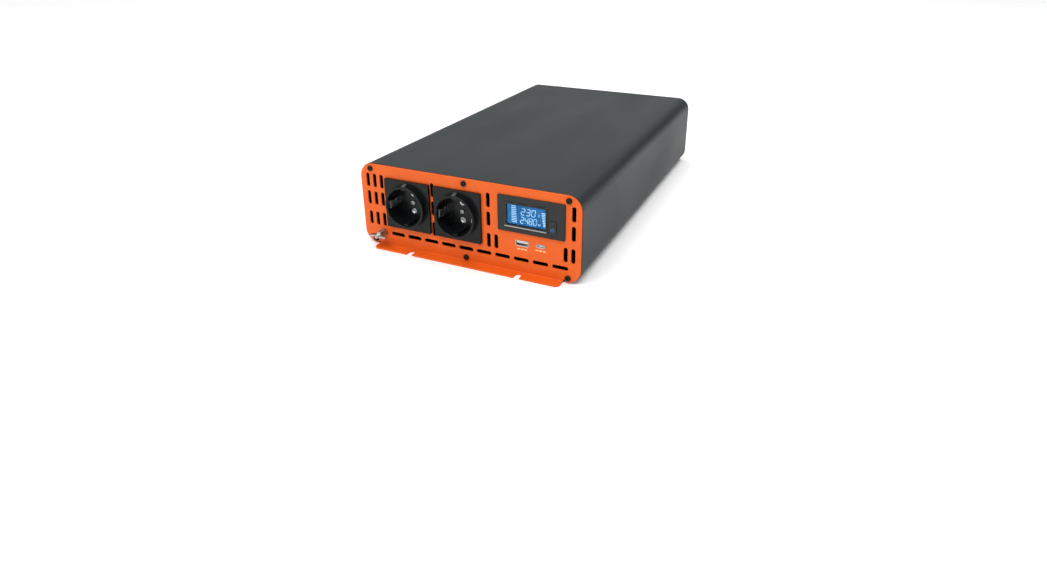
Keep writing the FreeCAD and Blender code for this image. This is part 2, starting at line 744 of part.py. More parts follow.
# ================================================================ USB ports
def usb_port(x, z, width, height, radius, tongue_w, tongue_t, tongue_dz):
    """A metal shell with a tongue inside it, closed at the back."""
    front = FACE - USB_PROUD
    end = FACE + USB_DEPTH
    shell = rounded(x, z, width, height, radius, (front, end))
    cavity = rounded(x, z, width - 2 * USB_WALL, height - 2 * USB_WALL,
                     radius - USB_WALL, (front - 1, end - 4.0))
    tongue = centred(x, z + tongue_dz, tongue_w, tongue_t, (front + 0.8, end - 3.5))
    return fused([shell.cut(cavity), tongue])


def usb_a_port():
    return usb_port(USB_A_X, USB_A_Z, USB_A_W, USB_A_H, USB_A_ROUND, 11.1, 1.9, 1.0)


def usb_c_port():
    return usb_port(USB_C_X, USB_C_Z, USB_C_W, USB_C_H, USB_C_ROUND, 6.6, 0.7, 0.0)


def usb_board():
    """The small upright board that carries both ports."""
    y = FACE + USB_DEPTH
    board = block(USB_BOARD_XS, (y, y + BOARD_T), USB_BOARD_ZS)
    converter = block((54.0, 62.0), (y + BOARD_T, y + BOARD_T + 5.0), (24.0, 32.0))
    return fused([board, converter])


# ================================================================ earth stud
def ground_stud():
    """A bolt through the panel, with its hexagon head inside."""
    head = hexagon(EARTH_STUD_X, EARTH_STUD_Z, NUT_FLATS, (BACK, BACK + 2.8))
    shank = rod(EARTH_STUD_X, EARTH_STUD_Z, STUD_R, (FACE - STUD_OUT, BACK))
    shank = shank.makeChamfer(0.5, [edge for edge in shank.Edges
                                    if lies_at_y(FACE - STUD_OUT)(edge)])
    return fused([head, shank])


def ground_lock_nut():
    """The nut that clamps the bolt to the panel."""
    nut = hexagon(EARTH_STUD_X, EARTH_STUD_Z, NUT_FLATS, (FACE - LOCK_NUT_H, FACE))
    return nut.cut(rod(EARTH_STUD_X, EARTH_STUD_Z, STUD_R, (FACE - LOCK_NUT_H, FACE)))


def ground_washers():
    """Two washers; a ring terminal goes between them."""
    washers = []
    y = FACE - LOCK_NUT_H
    for radius in (4.5, 4.0):
        ring = rod(EARTH_STUD_X, EARTH_STUD_Z, radius, (y - WASHER_T, y))
        washers.append(ring.cut(rod(EARTH_STUD_X, EARTH_STUD_Z, STUD_R + 0.15, (y - WASHER_T, y))))
        y -= WASHER_T
    return washers


def wing_nut_base_y():
    return FACE - LOCK_NUT_H - 2 * WASHER_T - COVER_GAP


def ground_wing_nut():
    """A hub with two rounded wings that a finger and thumb turn."""
    base = wing_nut_base_y()
    hub = Part.makeCone(4.3, 3.4, WING_HUB_H, V(EARTH_STUD_X, base, EARTH_STUD_Z), V(0, -1, 0))
    wings = []
    for side in (-1, 1):
        outline = [(2.6, 0.8), (6.2, 3.2), (9.5, 6.0), (9.5, 8.0), (8.2, WING_H),
                   (6.2, 8.6), (2.6, WING_HUB_H)]
        points = [V(EARTH_STUD_X + side * reach, base - out, EARTH_STUD_Z - 0.9)
                  for reach, out in outline]
        wing = prism(points, V(0, 0, 1.8))
        wings.append(wing)
    nut = fused([hub] + wings)
    bore = rod(EARTH_STUD_X, EARTH_STUD_Z, STUD_R + 0.05, (base + 1, base - WING_H - 1))
    return nut.cut(bore)


# ================================================================ fans
def fan_corners():
    """The four corner holes of a fan, from its centre."""
    half = FAN_HOLE_PITCH / 2.0
    return [(sign_x * half, sign_z * half) for sign_x in (-1, 1) for sign_z in (-1, 1)]


def fan_frame(u):
    """The square fan body: two flanges, a duct, and a motor seat on four struts."""
    front = BACK
    end = BACK + FAN_DEPTH
    flanges = [rounded(u, MID_Z, FAN_SIZE, FAN_SIZE, 4.0, (front, front + FAN_FLANGE_T)),
               rounded(u, MID_Z, FAN_SIZE, FAN_SIZE, 4.0, (end - FAN_FLANGE_T, end))]
    duct = rod(u, MID_Z, FAN_BORE_R + FAN_DUCT_T, (front, end))
    frame = fused(flanges + [duct]).cut(rod(u, MID_Z, FAN_BORE_R, (front, end)))
    for dx, dz in fan_corners():
        frame = frame.cut(rod(u + dx, MID_Z + dz, 2.0, (front, end)))
    seat = rod(u, MID_Z, MOTOR_SEAT_R, (end - 3.0, end))
    struts = []
    for angle in (45, 135, 225, 315):
        strut = block((u + MOTOR_SEAT_R - 2.0, u + FAN_BORE_R + 0.8), (end - 2.8, end - 0.2),
                      (MID_Z - STRUT_W / 2.0, MID_Z + STRUT_W / 2.0))
        strut.rotate(V(u, 0, MID_Z), V(0, 1, 0), angle)
        struts.append(strut)
    tube = rod(u, MID_Z, MOTOR_TUBE_R, (end - MOTOR_TUBE_L, end))
    frame = fused([frame, seat, tube] + struts)
    return frame.cut(rod(u, MID_Z, FAN_SHAFT_R + FAN_BEARING_GAP,
                         (end - MOTOR_TUBE_L - 1, end - 1.0)))


def fan_stator(u):
    """The wound stator on the motor seat's tube."""
    end = BACK + FAN_DEPTH
    ys = (end - 14.0, end - 4.0)
    core = rod(u, MID_Z, STATOR_R, ys).cut(rod(u, MID_Z, MOTOR_TUBE_R, ys))
    for index in range(4):
        gap = block((u + 8.0, u + STATOR_R + 1), ys, (MID_Z - 1.2, MID_Z + 1.2))
        gap.rotate(V(u, 0, MID_Z), V(0, 1, 0), 90.0 * index)
        core = core.cut(gap)
    return core


def fan_shaft(u):
    """The steel spindle, pressed into the impeller and free in the bearing tube."""
    end = BACK + FAN_DEPTH
    return rod(u, MID_Z, FAN_SHAFT_R, (BACK + SHAFT_START, end - 1.5))


def blade_section(reach, chord, thickness, pitch, y):
    """One cross-section of a blade, in the plane at a given reach from the axis."""
    angle = math.radians(pitch)
    along = V(0, math.sin(angle), math.cos(angle)) * (chord / 2.0)
    across = V(0, math.cos(angle), -math.sin(angle)) * (thickness / 2.0)
    centre = V(reach, y, 0)
    corners = [centre + along + across, centre - along + across,
               centre - along - across, centre + along - across]
    return Part.makePolygon(corners + [corners[0]])


def fan_impeller(u):
    """A cup over the motor with twisted blades round it."""
    front = BACK + IMPELLER_FRONT
    cup_end = BACK + FAN_DEPTH - IMPELLER_REAR
    middle = (front + cup_end) / 2.0 + 0.5
    sections = [blade_section(FAN_CUP_R - 0.8, 17.0, 2.0, 48.0, middle),
                blade_section(27.0, 21.0, 1.7, 38.0, middle),
                blade_section(FAN_TIP_R + 1.5, 24.0, 1.4, 29.0, middle)]
    blade = Part.makeLoft(sections, True, False)
    blade = blade.common(Part.makeCylinder(FAN_TIP_R, cup_end - front, V(0, front, 0), V(0, 1, 0)))
    blades = []
    for index in range(FAN_BLADES):
        copy = blade.copy()
        copy.rotate(V(0, 0, 0), V(0, 1, 0), 360.0 / FAN_BLADES * index)
        blades.append(copy)
    cup = rod(0, 0, FAN_CUP_R, (front, cup_end))
    cup = fillet_edges(cup, 2.0, lies_at_y(front))
    impeller = cup.fuse(blades)
    impeller = impeller.cut(rod(0, 0, FAN_CUP_R - FAN_CUP_T, (front + FAN_CUP_T, cup_end)))
    boss = rod(0, 0, 3.4, (front + FAN_CUP_T, front + 5.5))
    impeller = impeller.fuse(boss).cut(rod(0, 0, FAN_SHAFT_R, (BACK + SHAFT_START, cup_end)))
    return moved(impeller.removeSplitter(), u, 0, MID_Z)


def fan_guard(u):
    """The round wire guard: rings on two V-shaped wires with eyes at the screws."""
    pieces = []
    for radius in GUARD_RINGS:
        pieces.append(Part.makeTorus(radius, GUARD_WIRE_R, V(u, GUARD_RING_Y, MID_Z), V(0, 1, 0)))
    half = FAN_HOLE_PITCH / 2.0
    reach = half - GUARD_EYE_R * math.sqrt(0.5)
    for side in (-1, 1):
        points = [V(u - reach, GUARD_SPOKE_Y, MID_Z + side * reach),
                  V(u, GUARD_SPOKE_Y, MID_Z + side * 0.9),
                  V(u + reach, GUARD_SPOKE_Y, MID_Z + side * reach)]
        pieces.append(wire_tube(points, 5.0, GUARD_WIRE_R))
    for dx, dz in fan_corners():
        pieces.append(Part.makeTorus(GUARD_EYE_R, GUARD_WIRE_R,
                                     V(u + dx, GUARD_SPOKE_Y, MID_Z + dz), V(0, 1, 0)))
    return fused(pieces)


def fan_screws():
    screws = []
    seat = FACE - 2 * GUARD_WIRE_R
    for u in (-FAN_U, FAN_U):
        for dx, dz in fan_corners():
            screws.append(pan_screw(u + dx, MID_Z + dz, seat, FAN_SCREW_HEAD_R, FAN_SCREW_HEAD_H,
                                    FAN_SCREW_SHANK_R, SCREW_LENGTH))
    return screws


# ================================================================ DC terminals
def terminal_boss_span(z):
    """Lower and upper z of the insulating boss under a terminal."""
    return (z - DC_BOSS_HALF_H, z + DC_BOSS_HALF_H)


def dc_terminal_base():
    """The insulating block behind the panel, with a boss through it per terminal."""
    low = terminal_boss_span(NEGATIVE_Z)[0] - 4.0
    high = terminal_boss_span(POSITIVE_Z)[1] + 4.0
    pieces = [block((-DC_BASE_HALF, DC_BASE_HALF), (BACK, BACK + DC_BASE_T), (low, high))]
    for z in (POSITIVE_Z, NEGATIVE_Z):
        pieces.append(block((-DC_BOSS_HALF, DC_BOSS_HALF), (FACE - DC_BLOCK_SEAT, BACK),
                            terminal_boss_span(z)))
    base = fused(pieces)
    for z in (POSITIVE_Z, NEGATIVE_Z):
        base = base.cut(centred(0, z, 2 * DC_TAIL_HALF + FIT_GAP, DC_TAIL_T + FIT_GAP,
                                (FACE - DC_BLOCK_SEAT - 1, BACK + DC_BASE_T + 1)))
    return to_rear(base)


def dc_terminal(z):
    """A brass clamp block with a cable bore, and its tail into the housing."""
    front = FACE - DC_BLOCK_FRONT
    seat = FACE - DC_BLOCK_SEAT
    body = centred(0, z, 2 * DC_BLOCK_HALF, 2 * DC_BLOCK_HALF + 1.0, (front, seat))
    body = body.makeChamfer(0.8, [edge for edge in body.Edges if lies_at_y(front)(edge)])
    tail = centred(0, z, 2 * DC_TAIL_HALF, DC_TAIL_T, (seat, FACE + DC_TAIL_IN))
    terminal = fused([body, tail])
    terminal = terminal.cut(rod(0, z, DC_BORE_R, (front - 1, front + DC_BORE_DEPTH)))
    screw_hole = post(0, CLAMP_SCREW_Y, CLAMP_SCREW_R, (z + 1.0, z + DC_BLOCK_HALF + 2.0))
    return to_rear(terminal.cut(screw_hole))


def dc_clamp_screws():
    """Socket-head set screws that press the cable against the bore."""
    screws = []
    for z in (POSITIVE_Z, NEGATIVE_Z):
        top = z + DC_BLOCK_HALF + 2.2
        screw = post(0, CLAMP_SCREW_Y, CLAMP_SCREW_R, (z + DC_BORE_R, top))
        socket = post(0, CLAMP_SCREW_Y, 1.7, (top - 2.5, top + 1))
        screws.append(to_rear(screw.cut(socket)))
    return screws


def cover_shell(cover, front_round):
    """The outside and the inside of a hollow box that is open towards the panel."""
    start = FACE - COVER_GAP
    end = FACE - cover["depth"]
    middle = (cover["bottom"] + cover["top"]) / 2.0
    height = cover["top"] - cover["bottom"]
    outside = centred(0, middle, 2 * cover["half"], height, (end, start))
    outside = fillet_edges(outside, front_round, lies_at_y(end))
    inside = centred(0, middle, 2 * (cover["half"] - COVER_WALL), height - 2 * COVER_WALL,
                     (end + COVER_WALL, start + 1))
    return outside, inside


def cable_hole(x, z, width, height, depth, flat_side):
    """A cable hole, rounded on one side and nearly square on the other."""
    start = FACE - depth - 1.0
    length = COVER_WALL + 6.0
    ys = (start, start + length)
    half = width / 2.0
    upper_z = z + height - width
    square_part = block((x, x + flat_side * half), ys, (z - half + 1.5, upper_z + half))
    between = block((x - half, x + half), ys, (z, upper_z))
    return fused([rod(x, z, half, ys), rod(x, upper_z, half, ys), between, square_part])


def dc_positive_cover():
    """The red cover: wider ears at the panel, waisted sides and a stepped top."""
    cover = POSITIVE_COVER
    hole = cable_hole(-1.0, 57.8, 13.0, 15.2, cover["depth"], 1)
    outside, inside = cover_shell(cover, 1.6)
    start = FACE - COVER_GAP
    ears = []
    for low, high, depth in ((67.5, cover["top"] + 1.6, 9.0), (cover["bottom"], 49.0, 12.0)):
        ears.append(block((-14.2, 14.2), (start - depth, start), (low, high)))
    wedge = []
    for side in (-1, 1):
        points = [V(side * 11.0, start - 9.0, 67.5), V(side * 14.2, start - 9.0, 67.5),
                  V(side * 11.0, start - 18.0, 67.5)]
        wedge.append(prism(points, V(0, 0, 7.5)))
    body = fused([outside] + ears + wedge).cut([inside, hole])
    for side in (-1, 1):
        groove = block((side * 4.5, side * 13.0), (start - 5.2, start - 3.4),
                       (cover["top"] + 0.2, cover["top"] + 3.0))
        body = body.cut(groove)
        latch_hole = block((side * 8.0, side * 16.0), (start - 8.0, start - 5.0), (51.5, 54.5))
        body = body.cut(latch_hole)
    seam = block((5.5, 11.6), (FACE - cover["depth"] - 1, FACE - cover["depth"] + 0.5), (66.6, 67.1))
    return to_rear(body.cut(seam))


def dc_negative_cover():
    """The black cover: a deep rounded lip along its top and stepped lower corners."""
    cover = NEGATIVE_COVER
    hole = cable_hole(-0.2, 26.0, 10.2, 12.6, cover["depth"], 1)
    outside, inside = cover_shell(cover, 0.8)
    front = FACE - cover["depth"]
    lip = [V(-cover["half"] - 1, front - 1, cover["top"] - 2.4),
           V(-cover["half"] - 1, front - 1, cover["top"] + 1),
           V(-cover["half"] - 1, front + 2.4, cover["top"] + 1)]
    outside = outside.cut(prism(lip, V(2 * cover["half"] + 2, 0, 0)))
    steps = []
    for side in (-1, 1):
        steps.append(block((side * (cover["half"] - 1.6), side * (cover["half"] + 1)),
                           (FACE - 9.0, FACE + 1), (cover["bottom"] - 1, cover["bottom"] + 7.0)))
    return to_rear(outside.cut([inside, hole] + steps))


# ================================================================ electronics
def main_board():
    """The power board, in the housing's rails."""
    return block((-BOARD_HALF_W, BOARD_HALF_W), (BOARD_FRONT_Y, BOARD_REAR_Y),
                 (BOARD_Z, BOARD_TOP))


def heat_sinks():
    """Two finned extrusions, one down each side of the board."""
    sinks = []
    back_x = SINK_X + SINK_T
    for side in (-1, 1):
        parts = [block((side * SINK_X, side * back_x), SINK_YS, (BOARD_TOP, SINK_TOP))]
        for index in range(FIN_COUNT):
            z = FIN_FIRST_Z + FIN_PITCH * index
            parts.append(block((side * (back_x - 1.0), side * FIN_TIP_X), SINK_YS, (z, z + FIN_T)))
        sinks.append(fused(parts))
    return sinks


def power_transistors():
    """Rows of flat power transistors against the heat sinks."""
    transistors = []
    for side in (-1, 1):
        for index in range(TRANSISTORS):
            y = TRANSISTOR_FIRST_Y + TRANSISTOR_PITCH * index
            package = block((side * (SINK_X - TRANSISTOR_T), side * SINK_X),
                            (y - TRANSISTOR_W / 2.0, y + TRANSISTOR_W / 2.0), TRANSISTOR_ZS)
            legs = []
            leg_x = SINK_X - TRANSISTOR_T / 2.0
            for step in (-LEG_PITCH, 0, LEG_PITCH):
                legs.append(block((side * (leg_x - 0.9), side * (leg_x - 0.1)),
                                  (y + step - LEG_W / 2.0, y + step + LEG_W / 2.0),
                                  (BOARD_TOP, TRANSISTOR_ZS[0])))
            transistors.append(fused([package] + legs))
    return transistors


TRANSFORMER_PLACES = [(x, y) for y in (10.0, 78.0) for x in (-36.0, 36.0)]


def transformer_cores():
    """Ferrite cores with two windows each."""
    cores = []
    for x, y in TRANSFORMER_PLACES:
        core = block((x - CORE_W / 2.0, x + CORE_W / 2.0), (y - CORE_D / 2.0, y + CORE_D / 2.0),
                     (BOARD_TOP, BOARD_TOP + CORE_H))
        for side in (-1, 1):
            core = core.cut(block((x + side * WINDOW_XS[0], x + side * WINDOW_XS[1]),
                                  (y - CORE_D, y + CORE_D),
                                  (BOARD_TOP + WINDOW_ZS[0], BOARD_TOP + WINDOW_ZS[1])))
        cores.append(core)
    return cores


def transformer_windings():
    """Taped windings round the middle limb of each core."""
    windings = []
    for x, y in TRANSFORMER_PLACES:
        half_w = WINDOW_XS[1] - 0.5
        half_d = CORE_D / 2.0 + 9.0
        outside = block((x - half_w, x + half_w), (y - half_d, y + half_d),
                        (BOARD_TOP + WINDOW_ZS[0] + 0.5, BOARD_TOP + WINDOW_ZS[1] - 0.5))
        limb_w = WINDOW_XS[0] + FIT_GAP
        limb_d = CORE_D / 2.0 + FIT_GAP
        limb = block((x - limb_w, x + limb_w), (y - limb_d, y + limb_d),
                     (BOARD_TOP, BOARD_TOP + CORE_H))
        outside = fillet_edges(outside, 5.0, lambda edge: edge.BoundBox.ZLength > 30.0)
        windings.append(outside.cut(limb))
    return windings


def capacitor(x, y, radius, height):
    """A can with a shallow groove below its top."""
    can = post(x, y, radius, (BOARD_TOP, BOARD_TOP + height))
    can = fillet_edges(can, 1.0, lambda edge: abs(edge.BoundBox.ZMin - BOARD_TOP - height) < 1e-4
                       and edge.BoundBox.ZLength < 1e-4)
    groove = Part.makeTorus(radius + 0.4, 1.0, V(x, y, BOARD_TOP + 5.0), V(0, 0, 1))
    return can.cut(groove)


def bus_capacitors():
    """The high-voltage capacitors."""
    return [capacitor(x, y, 17.5, 50.0) for y in (-45.0, -90.0) for x in (-50.0, -10.0)]


def input_capacitors():
    """The battery-side capacitors, in one row at the DC end."""
    return [capacitor(side * (22.0 + 19.0 * index), 128.0, 9.0, 36.0)
            for side in (-1, 1) for index in range(3)]


def choke_core():
    """The ring core of the output filter."""
    low = BOARD_TOP + CHOKE_LOW
    zs = (low, low + CHOKE_H)
    ring = post(CHOKE_X, CHOKE_Y, CHOKE_MIDDLE_R + CHOKE_HALF, zs)
    return ring.cut(post(CHOKE_X, CHOKE_Y, CHOKE_MIDDLE_R - CHOKE_HALF, zs))


def choke_winding():
    """Heavy copper turns round the ring core, with a gap at its leads."""
    turns = []
    middle = BOARD_TOP + CHOKE_LOW + CHOKE_H / 2.0
    inner_x = CHOKE_HALF + 0.1
    inner_z = CHOKE_H / 2.0 + 0.1
    outer_x = inner_x + CHOKE_WIRE
    outer_z = inner_z + CHOKE_WIRE
    for index in range(CHOKE_TURNS):
        angle = 30.0 + 300.0 * index / (CHOKE_TURNS - 1)
        outline = block((-outer_x, outer_x), (-0.9, 0.9), (-outer_z, outer_z))
        turn = outline.cut(block((-inner_x, inner_x), (-1.5, 1.5), (-inner_z, inner_z)))
        turn.translate(V(CHOKE_MIDDLE_R, 0, 0))
        turn.rotate(V(0, 0, 0), V(0, 0, 1), angle)
        turn.translate(V(CHOKE_X, CHOKE_Y, middle))
        turns.append(turn)
    return turns


def input_fuses():
    """Blade fuses at the DC end."""
    fuses = []
    for side in (-1, 1):
        for index in range(3):
            x = side * (24.0 + 18.0 * index)
            body = block((x - 7.0, x + 7.0), (150.0, 155.0), (BOARD_TOP + 6.0, BOARD_TOP + 18.0))
            blades = [block((x + step - 1.8, x + step + 1.8), (152.1, 152.9),
                            (BOARD_TOP, BOARD_TOP + 6.0)) for step in (-4.5, 4.5)]
            fuses.append(fused([body] + blades))
    return fuses


def busbar(z, drop_y):
    """A bent bar from a terminal's tail down to the board."""
    top = z - DC_TAIL_T / 2.0
    overlap_end = -FACE - 20.0
    flat = block((-DC_TAIL_HALF, DC_TAIL_HALF), (drop_y, overlap_end), (top - BAR_T, top))
    drop = block((-DC_TAIL_HALF, DC_TAIL_HALF), (drop_y, drop_y + BAR_T), (BOARD_TOP, top))
    return fused([flat, drop])


def control_board():
    """An upright board with the controller and its parts."""
    y = CONTROL_Y
    board = block((-60.0, 40.0), (y, y + BOARD_T), (BOARD_TOP, BOARD_TOP + 46.0))
    parts = [board]
    for x, z, w, h, t in ((-30, 40, 12, 12, 1.6), (0, 36, 9, 6, 1.8), (20, 44, 8, 8, 3.0),
                          (-48, 28, 7, 10, 4.0)):
        parts.append(centred(x, z, w, h, (y + BOARD_T, y + BOARD_T + t)))
    return fused(parts)


def output_relays():
    """The transfer relays beside the control board."""
    return [block((62.0, 78.0), (y, y + 22.0), (BOARD_TOP, BOARD_TOP + 16.0))
            for y in (-140.0, -114.0)]


def ac_wires():
    """Wires from the socket tabs down to the power board."""
    wires = []
    for x in SOCKET_CENTRES.values():
        for side in (-1, 1):
            z = SOCKET_Z + side * PIN_PITCH / 2.0
            drop_y = BOARD_FRONT_Y + 9.0 + 4.0 * side
            points = [V(x, tab_end_y(), z), V(x, drop_y, z), V(x, drop_y, BOARD_TOP)]
            wires.append(wire_tube(points, 5.0, 1.3))
    return wires


def fan_wires():
    """One lead from each fan's motor seat to the board."""
    wires = []
    start_y = -(BACK + FAN_DEPTH)
    for side in (-1, 1):
        x = side * FAN_U
        points = [V(x, start_y, 31.0), V(x, start_y - 16.0, 31.0), V(x, start_y - 16.0, BOARD_TOP)]
        wires.append(wire_tube(points, 4.0, 0.9))
    return wires


# ================================================================ export
def build_nodes():
    """Every node name with its solids."""
    nodes = {
        "housing_shell": [housing_shell()],
        "front_panel": [front_panel()],
        "rear_panel": [rear_panel()],
        "front_panel_screws": panel_screws(),
        "rear_panel_screws": [to_rear(screw) for screw in panel_screws()],
        "display_bezel": [display_bezel()],
        "display_window": [display_window()],
        "lcd_module": [lcd_module()],
        "display_board": [display_board()],
        "power_button": [power_button()],
        "power_switch": [power_switch()],
        "socket_screws": socket_screws(),
        "usb_a_port": [usb_a_port()],
        "usb_c_port": [usb_c_port()],
        "usb_board": [usb_board()],
        "ground_stud": [ground_stud()],
        "ground_lock_nut": [ground_lock_nut()],
        "ground_washers": ground_washers(),
        "ground_wing_nut": [ground_wing_nut()],
        "fan_screws": [to_rear(screw) for screw in fan_screws()],
        "dc_terminal_base": [dc_terminal_base()],
        "dc_positive_terminal": [dc_terminal(POSITIVE_Z)],
        "dc_negative_terminal": [dc_terminal(NEGATIVE_Z)],
        "dc_clamp_screws": dc_clamp_screws(),
        "dc_positive_cover": [dc_positive_cover()],
        "dc_negative_cover": [dc_negative_cover()],
        "main_board": [main_board()],
        "heat_sinks": heat_sinks(),
        "power_transistors": power_transistors(),
        "transformer_cores": transformer_cores(),
        "transformer_windings": transformer_windings(),
        "bus_capacitors": bus_capacitors(),
        "input_capacitors": input_capacitors(),
        "choke_core": [choke_core()],
        "choke_winding": choke_winding(),
        "input_fuses": input_fuses(),
        "positive_busbar": [busbar(POSITIVE_Z, 156.0)],
        "negative_busbar": [busbar(NEGATIVE_Z, 164.0)],
        "control_board": [control_board()],
        "output_relays": output_relays(),
        "ac_wires": ac_wires(),
        "fan_wires": fan_wires(),
    }
    for name, x in SOCKET_CENTRES.items():
        nodes["socket_%s_body" % name] = [socket_body(x)]
        nodes["socket_%s_back_cover" % name] = [socket_back_cover(x)]
        nodes["socket_%s_pin_contacts" % name] = pin_contacts(x)
        nodes["socket_%s_earth_clips" % name] = [earth_clips(x)]
    for name, u in (("left", -FAN_U), ("right", FAN_U)):
        nodes["fan_%s_frame" % name] = [to_rear(fan_frame(u))]
        nodes["fan_%s_stator" % name] = [to_rear(fan_stator(u))]
        nodes["fan_%s_shaft" % name] = [to_rear(fan_shaft(u))]
        nodes["fan_%s_impeller" % name] = [to_rear(fan_impeller(u))]
        nodes["fan_%s_guard" % name] = [to_rear(fan_guard(u))]
    return nodes


def export(nodes):
    os.makedirs("parts", exist_ok=True)
    for name in sorted(nodes):
        solids = []
        for shape in nodes[name]:
            solids.extend(shape.Solids)
        for solid in solids:
            if not solid.isValid():
                raise ValueError("invalid solid in " + name)
        shape = solids[0] if len(solids) == 1 else Part.makeCompound(solids)
        shape.exportStep("parts/%s.step" % name)
        print("%-28s solids %2d  volume %10.0f mm3" % (name, len(solids), shape.Volume))


export(build_nodes())
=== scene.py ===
"""Looks of the power inverter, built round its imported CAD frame.

Metres, +Z up. The AC panel faces -Y and the DC panel faces +Y.
"""
import json
import math

import bmesh
import bpy
from mathutils import Matrix, Vector


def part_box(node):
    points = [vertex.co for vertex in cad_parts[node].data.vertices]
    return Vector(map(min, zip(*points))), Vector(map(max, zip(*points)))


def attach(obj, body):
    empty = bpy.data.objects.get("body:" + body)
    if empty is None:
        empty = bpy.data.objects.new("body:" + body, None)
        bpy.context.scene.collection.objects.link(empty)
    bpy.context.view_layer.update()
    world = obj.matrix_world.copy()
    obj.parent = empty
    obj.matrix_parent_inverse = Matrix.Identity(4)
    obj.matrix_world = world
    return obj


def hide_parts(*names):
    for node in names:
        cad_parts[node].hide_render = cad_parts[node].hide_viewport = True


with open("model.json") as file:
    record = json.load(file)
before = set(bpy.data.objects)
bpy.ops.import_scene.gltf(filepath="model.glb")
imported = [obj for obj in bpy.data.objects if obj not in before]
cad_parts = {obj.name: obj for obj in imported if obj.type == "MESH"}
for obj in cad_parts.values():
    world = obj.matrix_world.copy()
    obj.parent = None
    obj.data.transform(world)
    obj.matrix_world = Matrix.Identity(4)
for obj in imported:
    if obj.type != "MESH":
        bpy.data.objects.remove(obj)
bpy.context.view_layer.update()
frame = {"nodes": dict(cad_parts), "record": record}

MM = 0.001

# ---------------------------------------------------------------- places, from the frame
PANEL_T = 1.5 * MM
FRONT_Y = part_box("housing_shell")[0].y - PANEL_T
REAR_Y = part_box("housing_shell")[1].y + PANEL_T
LCD_LOW, LCD_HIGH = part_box("lcd_module")
PANE_LOW, PANE_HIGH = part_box("display_window")
BUTTON_LOW, BUTTON_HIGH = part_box("power_button")
USB_A_LOW, USB_A_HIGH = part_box("usb_a_port")
USB_C_LOW, USB_C_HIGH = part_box("usb_c_port")
STUD_LOW, STUD_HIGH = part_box("ground_stud")
POSITIVE_LOW, POSITIVE_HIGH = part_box("dc_positive_cover")

# ---------------------------------------------------------------- camera
CAMERA_AT = Vector((0.3168, -0.7359, 0.3085))
CAMERA_AZIMUTH = math.radians(24.50)
CAMERA_ELEVATION = math.radians(21.87)
CAMERA_LENS = 23.72
CAMERA_SENSOR = 36.0
CAMERA_SHIFT = (-0.01175, -0.0773)


def make_camera():
    """A camera that looks at the AC panel from the right and from above."""
    data = bpy.data.cameras.new("camera")
    data.sensor_width = CAMERA_SENSOR
    data.lens = CAMERA_LENS
    data.shift_x, data.shift_y = CAMERA_SHIFT
    camera = bpy.data.objects.new("camera", data)
    bpy.context.scene.collection.objects.link(camera)
    back = Vector((math.sin(CAMERA_AZIMUTH) * math.cos(CAMERA_ELEVATION),
                   -math.cos(CAMERA_AZIMUTH) * math.cos(CAMERA_ELEVATION),
                   math.sin(CAMERA_ELEVATION)))
    right = Vector((math.cos(CAMERA_AZIMUTH), math.sin(CAMERA_AZIMUTH), 0.0))
    turn = Matrix((right, back.cross(right), back)).transposed()
    camera.matrix_world = Matrix.Translation(CAMERA_AT) @ turn.to_4x4()
    bpy.context.scene.camera = camera


# ---------------------------------------------------------------- stage and light
FLOOR_HALF = 12.0
FLOOR_GLOW = 0.13
SKY = ((0.0, 0.36), (0.10, 0.44), (0.32, 0.28), (0.62, 0.30), (0.9, 0.95))   # height, strength
SKY_STRENGTH = 1.8
CARD_TOWARD = (0.42, 0.84, 0.34)
CARD_EDGE = 0.84
CARD_MIDDLE = 0.97
CARD_SHADE = 0.15
RIGHT_FROM = 0.1
RIGHT_TO = 0.9
RIGHT_SHADE = 0.3
LIGHT_TARGET = (0.0, 0.0, 0.05)
LIGHTS = (                      # name, place, size, watts
    ("front_key", (-1.25, -1.75, 1.35), 0.9, 3.0),
    ("front_top", (-0.2, -1.15, 1.9), 1.2, 18.0),
    ("rear_key", (0.8, 1.3, 1.9), 0.7, 16.0),
)


def make_floor():
    """A plain pale floor that runs out to the horizon."""
    mesh = bpy.data.meshes.new("floor")
    corners = [(sx * FLOOR_HALF, sy * FLOOR_HALF, 0.0) for sx, sy in ((-1, -1), (1, -1), (1, 1), (-1, 1))]
    mesh.from_pydata(corners, [], [(0, 1, 2, 3)])
    floor = bpy.data.objects.new("floor", mesh)
    bpy.context.scene.collection.objects.link(floor)
    finish = Finish("floor_white", (0.9, 0.9, 0.9), 0.8, Emission_Color=(1.0, 1.0, 1.0, 1.0),
                    Emission_Strength=FLOOR_GLOW)
    mesh.materials.append(finish.material)


